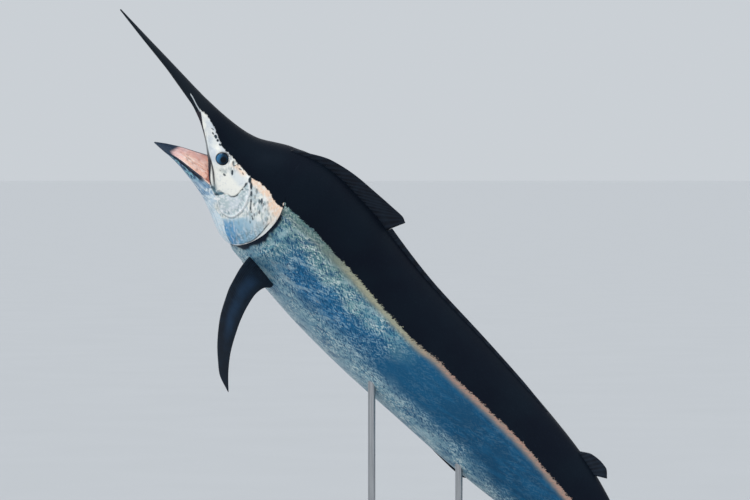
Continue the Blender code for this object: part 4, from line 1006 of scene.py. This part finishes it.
def tail_mesh(name):
    """Both lobes of the tail fin as one blade, thick where it leaves the tail stock."""
    share, t, (lead, trail), (aft, high) = blade(LOBE_LEAD, LOBE_TRAIL, 150, 145)
    away = np.linalg.norm(lead, axis=1)[:, None] + t * np.linalg.norm(trail - lead, axis=1)[:, None]
    ray = ray_wave(t + 0 * share, LOBE_RAYS) * ease(share, 0.03, 0.14)
    base = 0.006 * (1 - share) ** 0.8 + EDGE
    edge = 0.35 + 0.65 * np.sin(np.pi * (0.1 + 0.85 * t**0.7))
    half = (base + 0.0012 * (1 - 0.75 * share) * ray) * edge
    stock = half_width(TAIL_END) * LENGTH * np.sqrt(np.clip(1 - (high / 0.0226) ** 2, 0.0016, 1))
    near = np.clip(1 - aft / 0.05, 0, 1) ** 2 * fade(away, 0.05, 0.07)
    half = np.maximum(half, stock * near) + EDGE / 3
    half = np.where(aft < 0.002, np.minimum(half, stock + EDGE / 3), half)
    from_edge = np.where(share > 0.25, np.minimum(t, 1 - t), 1 - t)
    half = half * thinned(from_edge, 0.015, 0.3)
    s, z = both_lobes(TAIL_END + aft), both_lobes(high, -1)
    half, ray, share = both_lobes(half), both_lobes(ray), both_lobes(share + 0 * t)
    return fin_mesh(name, place(s, 0.0, z), axes(s)[1], half, share, t, ray)


def pelvic_mesh(name, side):
    """Thin ribbed thread that lies in its groove under the belly."""
    first, last = PELVIC_STATIONS
    s, spread = np.meshgrid(np.linspace(first, last, 90), np.linspace(0, 2 * math.pi, 17), indexing="ij")
    share = (s - first) / (last - first)
    ends = (0.6 + 0.4 * np.minimum(1, 6 * share)) * np.clip((1 - share) * 30 + 0.1, 0, 1)
    size = PELVIC_SIZE * (1 - 0.75 * share) * ends * (1 + 0.08 * np.cos(5 * spread))
    off = 0.0115 - 0.004 * share
    q = (off / half_width(s)) ** (1 / 0.9)
    under = widest(s) - (widest(s) - belly(s)) * np.sqrt(1 - q * q)
    world = place(s, side * off + 1.3 * size * np.cos(spread), under - 0.0002 + 0.8 * size * np.sin(spread))
    quads = grid_quads(np.arange(s.size).reshape(s.shape))
    return piece(name, world.reshape(-1, 3), quads, ray=0.5 + 0.5 * np.cos(5 * spread), along=share,
                 across=spread / 6.3)


def eye_mesh(name, side):
    """Flattened eyeball, its points marked with their place in a round ball."""
    centre, aft, up, out = eye_frame(side)
    ring, around = np.meshgrid(np.linspace(0, math.pi, 65), np.linspace(0, 2 * math.pi, 97), indexing="ij")
    ball = np.stack([np.sin(ring) * np.cos(around), np.sin(ring) * np.sin(around), np.cos(ring)], -1)
    world = centre - out * EYE_SINK + ball @ np.stack([EYE_RADIUS * aft, EYE_RADIUS * up, EYE_DEPTH * out])
    quads = grid_quads(np.arange(ring.size).reshape(ring.shape), flip=side < 0)
    return piece(name, world.reshape(-1, 3), quads, ball=ball)


class Value:
    """What a node gives.  Sums, differences, products and shares of values are nodes too."""

    def __init__(self, paint, socket):
        self.paint, self.socket = paint, socket

    def __add__(self, other):
        return self.paint.math("ADD", self, other)

    def __sub__(self, other):
        return self.paint.math("SUBTRACT", self, other)

    def __rsub__(self, other):
        return self.paint.math("SUBTRACT", other, self)

    def __mul__(self, other):
        return self.paint.math("MULTIPLY", self, other)

    def __truediv__(self, other):
        return self.paint.math("DIVIDE", self, other)


class Paint:
    """Short calls for the nodes of one material."""

    def __init__(self, name):
        self.mat = bpy.data.materials.new(name)
        self.mat.use_nodes = True
        self.tree = self.mat.node_tree

    def put(self, value, socket):
        if isinstance(value, Value):
            self.tree.links.new(value.socket, socket)
        elif socket.type == "RGBA":
            socket.default_value = (*value, 1)
        else:
            socket.default_value = value

    def node(self, kind, output, inputs, **settings):
        """New node with these settings and inputs; gives the value of one output."""
        node = self.tree.nodes.new("ShaderNode" + kind)
        for key, setting in settings.items():
            setattr(node, key, setting)
        for key, value in inputs.items():
            self.put(value, node.inputs[key])
        return Value(self, node.outputs[output])

    def surface(self, inputs):
        """Sets inputs of the shader."""
        for key, value in inputs.items():
            self.put(value, self.tree.nodes["Principled BSDF"].inputs[key])

    def attribute(self, name, kind="Fac"):
        return self.node("Attribute", kind, {}, attribute_name=name)

    def places(self):
        """Places of points in their object, in metres."""
        return self.node("TexCoord", "Object", {})

    def math(self, operation, a, b=0.0):
        return self.node("Math", 0, {0: a, 1: b}, operation=operation)

    def ease(self, value, low, high, start=0.0, end=1.0):
        """From start at low to end at high, smooth between."""
        inputs = {"Value": value, "From Min": low, "From Max": high, "To Min": start, "To Max": end}
        return self.node("MapRange", "Result", inputs, interpolation_type="SMOOTHSTEP")

    def mix(self, factor, a, b, blend="MIX"):
        inputs = {"Factor": factor, 6: a, 7: b}
        return self.node("Mix", 2, inputs, data_type="RGBA", blend_type=blend, clamp_factor=True)

    def moved(self, vector, scale=(1, 1, 1), angles=(0, 0, 0), shift=(0, 0, 0)):
        inputs = {"Vector": vector, "Scale": scale, "Rotation": angles, "Location": shift}
        return self.node("Mapping", 0, inputs)

    def noise(self, vector, scale, detail=2.0):
        return self.node("TexNoise", "Fac", {"Vector": vector, "Scale": scale, "Detail": detail})

    def fibres(self, vector, long, wide, lean, seed, detail=2.0):
        """Streaks of about long by wide metres, turned by lean degrees in the plane of the flank."""
        turned = self.moved(vector, angles=(0, math.radians(lean), 0), shift=(seed, 0, seed))
        return self.noise(self.moved(turned, scale=(1 / long, 1 / wide, 1 / wide)), 1.0, detail)

    def split(self, vector):
        """The three parts of a vector."""
        node = self.node("SeparateXYZ", 0, {0: vector}).socket.node
        return [Value(self, socket) for socket in node.outputs]

    def bump(self, height, strength, distance, **under):
        return self.node("Bump", 0, {"Strength": strength, "Distance": distance, "Height": height, **under})

    def finish(self, obj):
        obj.data.materials.clear()
        obj.data.materials.append(self.mat)


def skin_fields(p):
    """What the colours of the skin are made from: marks stored at the points, and noises."""
    fish = p.attribute("fish", "Vector")
    return SimpleNamespace(
        fish=fish, station=p.split(fish)[0] / LENGTH, dark=p.attribute("dark"), silver=p.attribute("silver"),
        patch=p.noise(fish, 5.0, 3.0), flecks=p.noise(fish, 90.0, 1.0),
        streak_a=p.fibres(fish, 0.026, 0.006, 26, 3.0), streak_b=p.fibres(fish, 0.02, 0.006, -22, 4.0),
        ragged=(p.fibres(fish, 0.03, 0.03, 30, 1.0, 3.0) - 0.5) * 0.026,
        teeth=(p.fibres(fish, 0.018, 0.006, 32, 2.0) - 0.5) * 0.028,
        hairs=(p.fibres(fish, 0.008, 0.003, 50, 7.0) - 0.5) * 0.018)


def flank_colour(p, f):
    """Silver below, deep blue behind, and in front a pale belt between the blue and the stripe."""
    wander = f.patch - 0.5
    low = f.silver + wander * 0.16
    share = f.silver / p.math("MAXIMUM", f.silver - f.dark, 0.01) + wander * 0.7
    rear = p.ease(f.station + wander * 0.12, 0.44, 0.52)
    belt = p.math("MAXIMUM", p.ease(share, 0.36, 0.58) * (1.0 - rear), p.ease(f.station, 0.3, 0.235))
    blue = p.mix(p.ease(f.station, 0.5, 0.66), tone(18, 80, 116), tone(14, 66, 98))
    blue = p.mix(p.ease(f.station, 0.36, 0.5), tone(28, 104, 150), blue)
    long_streaks = p.fibres(f.fish, 0.12, 0.022, 8, 5.0)
    blue = p.mix(p.ease(long_streaks, 0.4, 0.62) * 0.5, blue, tone(20, 86, 124))
    band = p.mix(belt, blue, p.mix(p.ease(f.patch, 0.4, 0.6), tone(78, 130, 150), tone(104, 148, 156)))
    silver_tone = p.mix(p.ease(f.patch, 0.35, 0.65), tone(92, 138, 160), tone(122, 158, 172))
    silver_tone = p.mix(p.ease(f.silver, -0.22, -0.08, 1, 0), silver_tone, tone(150, 176, 188))
    banded = p.ease(low, -0.08, 0.05)
    flank = p.mix(banded, silver_tone, band)
    # painted greenish sheen near the stripe on the front half
    green = p.ease(f.dark, -0.15, -0.045) * p.ease(f.station, 0.42, 0.3)
    flank = p.mix(green * 0.7, flank, tone(104, 136, 126))
    # pale and dark scale streaks
    calm = p.ease(rear * p.ease(low, -0.03, 0.05), 0.0, 1.0, 1.0, 0.14)
    patchy = p.ease(p.noise(f.fish, 9.0), 0.38, 0.58, 0.3, 1.0)
    on_blue = banded * (1.0 - belt)
    pale = p.math("MAXIMUM", p.ease(f.streak_a, 0.53, 0.63), p.ease(f.streak_b, 0.55, 0.65) * 0.8)
    pale = pale * (1.0 - on_blue * 0.3) * calm * (patchy * 0.88)
    flank = p.mix(pale, flank, p.mix(on_blue, tone(204, 218, 214), tone(158, 192, 206)))
    deep = p.ease(f.streak_b, 0.46, 0.38) * p.ease(f.silver, -0.16, -0.02, 0.4, 1.0)
    flank = p.mix(deep * calm * 0.9, flank, tone(16, 66, 104))
    # larger painted highlights of wet skin, and darker patches, on all but the blue of the rear half
    drift = p.fibres(f.fish, 0.1, 0.034, 24, 8.0, 4.0)
    lively = p.ease(rear * p.ease(low, -0.06, 0.03), 0.0, 1.0, 1.0, 0.0)
    flank = p.mix(p.ease(drift, 0.54, 0.68) * (lively * 0.34), flank, tone(186, 208, 212))
    return p.mix(p.ease(drift, 0.47, 0.37) * (lively * 0.5), flank, tone(22, 82, 120))


def striped(p, f, flank):
    """Flank with the copper stripe under the dark back, and dark at the tail fin."""
    copper = p.mix(p.ease(f.station, 0.26, 0.36), tone(92, 116, 106), tone(168, 164, 136))
    copper = p.mix(p.ease(f.station, 0.44, 0.58), copper, tone(172, 136, 118))
    copper = p.mix(p.ease(f.dark, -0.012, -0.036), copper, tone(112, 122, 114))
    copper = p.mix(p.ease(f.streak_a, 0.42, 0.6) * 0.5, copper, tone(116, 122, 112))
    lower_edge = p.ease(f.station, 0.24, 0.5, -0.064, -0.046)
    stripe = p.ease(f.dark + f.ragged * 0.5, lower_edge, lower_edge + 0.038)
    flank = p.mix(stripe * p.ease(f.station, 0.2, 0.36, 0.4, 0.9), flank, copper)
    return p.mix(p.ease(f.station, 0.885, 0.945), flank, NAVY)


def back_colour(p, f):
    tint = p.mix(p.ease(f.patch, 0.3, 0.7), NAVY, tone(12, 20, 29))
    # painted sheen: the bill is lighter grey ahead of the head
    tint = p.mix(p.ease(f.station, 0.06, 0.0, 0.0, 0.8), tint, tone(30, 36, 42))
    return p.mix(p.ease(f.streak_b, 0.6, 0.75) * 0.2, tint, tone(26, 38, 50))


def skin_material():
    """Painted head, flank and dark back in one material, with a ragged border under the back."""
    p = Paint("marlin_skin_paint")
    f = skin_fields(p)
    trunk, mouth, gap = p.attribute("trunk"), p.attribute("mouth"), p.attribute("gap")
    flank = striped(p, f, flank_colour(p, f))
    # the gap field gives dark skin and painted shade in and behind the parting of the gill cover
    body = p.mix(gap, p.mix(trunk, p.attribute("paint", "Color"), flank), GAP_DARK_AND_SHADE)
    head_edge = f.dark + (p.fibres(f.fish, 0.02, 0.012, -30, 6.0) - 0.5) * 0.02
    trunk_edge = f.dark + f.hairs + (f.ragged + f.teeth)
    on_back = p.ease(p.mix(trunk, head_edge, trunk_edge), -0.002, 0.004)
    colour = p.mix(on_back * (1.0 - mouth), body, back_colour(p, f))
    # fine grain of the skin
    colour = p.mix(p.ease(f.flecks, 0.3, 0.7, 0.0, 0.1), colour, p.mix(0.5, colour, WHITE, "MULTIPLY"))
    scales = p.bump(f.streak_a * 0.5 + f.streak_b, 0.28, 0.0016)
    p.surface({"Base Color": colour,
               "Roughness": p.ease(f.flecks, 0.3, 0.7, 0.34, 0.46) + on_back * 0.08,
               "Specular IOR Level": 0.3 - on_back * 0.18,
               "Specular Tint": tone(190, 212, 240),
               "Normal": p.bump(f.flecks, 0.12, 0.0008, Normal=scales)})
    return p


def fin_material(name, dark, light, painted_sheen=0.0):
    """Dark fin skin; rays a little lighter than the membrane, with a painted soft blue sheen down the blade.
    """
    p = Paint(name)
    ray, along, across = p.attribute("ray"), p.attribute("along"), p.attribute("across")
    places = p.places()
    mottle = p.noise(places, 26.0, 3.0)
    colour = p.mix(p.ease(mottle, 0.35, 0.7), dark, light)
    colour = p.mix(p.ease(ray, 0.35, 0.95, 0.0, 0.35), colour, tone(30, 42, 56))
    if painted_sheen:
        # painted sheen: a soft blue cloud down the middle of the blade
        middle = p.ease(across, 0.15, 0.45) * p.ease(across, 0.85, 0.55)
        middle = middle * (p.ease(along, 0.1, 0.3) * p.ease(along, 0.8, 0.5))
        cloud = p.ease(p.noise(places, 7.0), 0.3, 0.7, 0.35, 1.0)
        colour = p.mix(middle * painted_sheen * cloud, colour, tone(34, 58, 84))
    p.surface({"Base Color": colour, "Roughness": p.ease(mottle, 0.3, 0.7, 0.4, 0.52),
               "Specular IOR Level": 0.16, "Normal": p.bump(p.noise(places, 160.0), 0.15, 0.0006)})
    return p


def eye_material(name):
    """Dark pupil a little off the middle, blue iris lit from the lower front, dark rim."""
    p = Paint(name)
    ball = p.attribute("ball", "Vector")
    u, v, _ = p.split(ball)
    pupil_u, pupil_v = u - 0.16, v - 0.14
    radius = p.math("SQRT", pupil_u * pupil_u + pupil_v * pupil_v)
    spokes = p.noise(p.moved(ball, scale=(9, 9, 2)), 1.0, 3.0)
    iris = p.mix(p.ease(v * -0.7 - u * 0.7, -0.15, 0.7), tone(12, 32, 46), tone(62, 120, 162))
    iris = p.mix(p.ease(spokes, 0.4, 0.65, 0.0, 0.45), iris, tone(26, 66, 100))
    colour = p.mix(p.ease(radius, 0.34, 0.52), tone(8, 16, 24), iris)
    ring = p.math("SQRT", u * u + v * v)
    p.surface({"Base Color": p.mix(p.ease(ring, 0.72, 0.84), colour, tone(10, 16, 26)),
               "Roughness": p.ease(spokes, 0.3, 0.7, 0.1, 0.16), "Specular IOR Level": 0.12,
               "Coat Weight": 0.1, "Coat Roughness": 0.04})
    return p


def stand_paint():
    p = Paint("stand_paint")
    grain, cloud = p.noise(p.places(), 220.0, 3.0), p.noise(p.places(), 3.0)
    p.surface({"Base Color": p.mix(p.ease(cloud, 0.3, 0.7), tone(58, 60, 64), tone(66, 68, 72)),
               "Roughness": p.ease(grain, 0.3, 0.7, 0.42, 0.6), "Normal": p.bump(grain, 0.2, 0.0005)})
    return p


def steel():
    p = Paint("brushed_steel")
    brushed = p.noise(p.moved(p.places(), scale=(900, 900, 6)), 1.0)
    p.surface({"Base Color": p.mix(p.ease(brushed, 0.3, 0.7), tone(150, 152, 155), tone(186, 188, 190)),
               "Roughness": p.ease(brushed, 0.3, 0.7, 0.26, 0.4), "Metallic": 1.0,
               "Normal": p.bump(brushed, 0.08, 0.0003)})
    return p


def dress(obj, paint, slot, *nodes):
    paint.finish(obj)
    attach(obj, "root")
    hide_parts(*nodes)


SIDES = (("left", 1), ("right", -1))


def build_fish():
    dress(make_skin(), skin_material(), "torso_middle_skin",
          "bill", "head", "lower_jaw", "torso_front", "torso_middle", "tail_stock")
    eye_paint = eye_material("eye_glass")
    fin = fin_material("fin_skin_paint", tone(12, 18, 28), tone(19, 28, 39))
    wing = fin_material("pectoral_skin_paint", tone(12, 18, 28), tone(19, 29, 41), 0.8)
    for tag, side in SIDES:
        dress(eye_mesh("eyeball_" + tag, side), eye_paint, f"eye_{tag}_glass", "eye_" + tag)
    for tag, side in SIDES:
        for kind, shape, paint in (("pectoral", pectoral_mesh, wing), ("pelvic", pelvic_mesh, fin)):
            node = f"{kind}_fin_{tag}"
            dress(shape(f"{kind}_blade_{tag}", side), paint, node + "_skin", node)
    for name, base, crest, count, root in (
            ("dorsal_fin_first", FIRST_DORSAL_BASE, FIRST_DORSAL_CREST, 18, 0.014),
            ("dorsal_fin_rear", REAR_DORSAL_BASE, REAR_DORSAL_CREST, 26, 0.012),
            ("dorsal_fin_second", SECOND_DORSAL_BASE, SECOND_DORSAL_CREST, 7, 0.01),
            ("anal_fin_first", FIRST_ANAL_BASE, FIRST_ANAL_CREST, 13, 0.012),
            ("anal_fin_second", SECOND_ANAL_BASE, SECOND_ANAL_CREST, 7, 0.01)):
        dress(median_mesh(name + "_blade", base, crest, count, root), fin, name + "_skin", name)
    dress(tail_mesh("tail_blade"), fin, "tail_lobe_upper_skin", "tail_lobe_upper", "tail_lobe_lower")


def dress_stand():
    paint, metal = stand_paint(), steel()
    paint.finish(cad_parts["stand_base"])
    for name in ("stand_rod_front", "stand_rod_rear"):
        metal.finish(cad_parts[name])


FOCAL_PIXELS = 4167.0   # a long lens: 200 mm on a 36 mm wide frame of 750 pixels
PIXELS_PER_METRE = 205.0
REF_PIXEL = (386.0, 324.0)
FRAME_MIDDLE = (375.0, 250.0)
HORIZON_RISE = 77.0     # the horizon lies this many pixels above the middle
SUNS = (("key", (-5.0, -8.0, 8.0), 35, 2.15), ("fill", (8.0, -6.0, 5.0), 60, 0.3))  # place, spread, strength
FLOOR_HALF = 1500.0
FLOOR_LEVEL = -0.001


def studio_world():
    world = bpy.data.worlds.new("studio")
    bpy.context.scene.world = world
    world.use_nodes = True
    background = world.node_tree.nodes["Background"].inputs
    background["Color"].default_value = (*tone(226, 232, 238), 1)
    background["Strength"].default_value = 0.78


def photo_camera():
    pitch = math.atan(HORIZON_RISE / FOCAL_PIXELS)
    forward = Vector((0, math.cos(pitch), -math.sin(pitch)))
    upward = Vector((0, math.sin(pitch), math.cos(pitch)))
    distance = FOCAL_PIXELS / PIXELS_PER_METRE
    across = (REF_PIXEL[0] - FRAME_MIDDLE[0]) / FOCAL_PIXELS * distance
    above = (FRAME_MIDDLE[1] - REF_PIXEL[1]) / FOCAL_PIXELS * distance
    data = bpy.data.cameras.new("camera")
    data.lens, data.sensor_width = 200, 36
    data.clip_end = 4000
    camera = shown("camera", data)
    camera.location = Vector(REF_PLACE) - forward * distance - Vector((across, 0, 0)) - upward * above
    camera.rotation_euler = (math.pi / 2 - pitch, 0, 0)
    bpy.context.scene.camera = camera


def lights():
    for name, spot, spread, strength in SUNS:
        light = bpy.data.lights.new(name, "SUN")
        light.angle, light.energy = math.radians(spread), strength
        shown(name, light).rotation_euler = (-Vector(spot)).to_track_quat("-Z", "Y").to_euler()
    bpy.context.scene.view_settings.view_transform = "Standard"


def studio_floor():
    corners = [(x * FLOOR_HALF, y * FLOOR_HALF, FLOOR_LEVEL) for x, y in ((-1, -1), (1, -1), (1, 1), (-1, 1))]
    mesh = bpy.data.meshes.new("floor")
    mesh.from_pydata(corners, [], [(0, 1, 2, 3)])
    floor = shown("floor", mesh)
    p = Paint("floor_paint")
    grey = p.mix(p.noise(p.places(), 0.7), tone(184, 187, 190), tone(189, 192, 195))
    p.surface({"Base Color": grey, "Roughness": 0.8})
    p.finish(floor)


studio_world()
photo_camera()
lights()
build_fish()
dress_stand()
studio_floor()
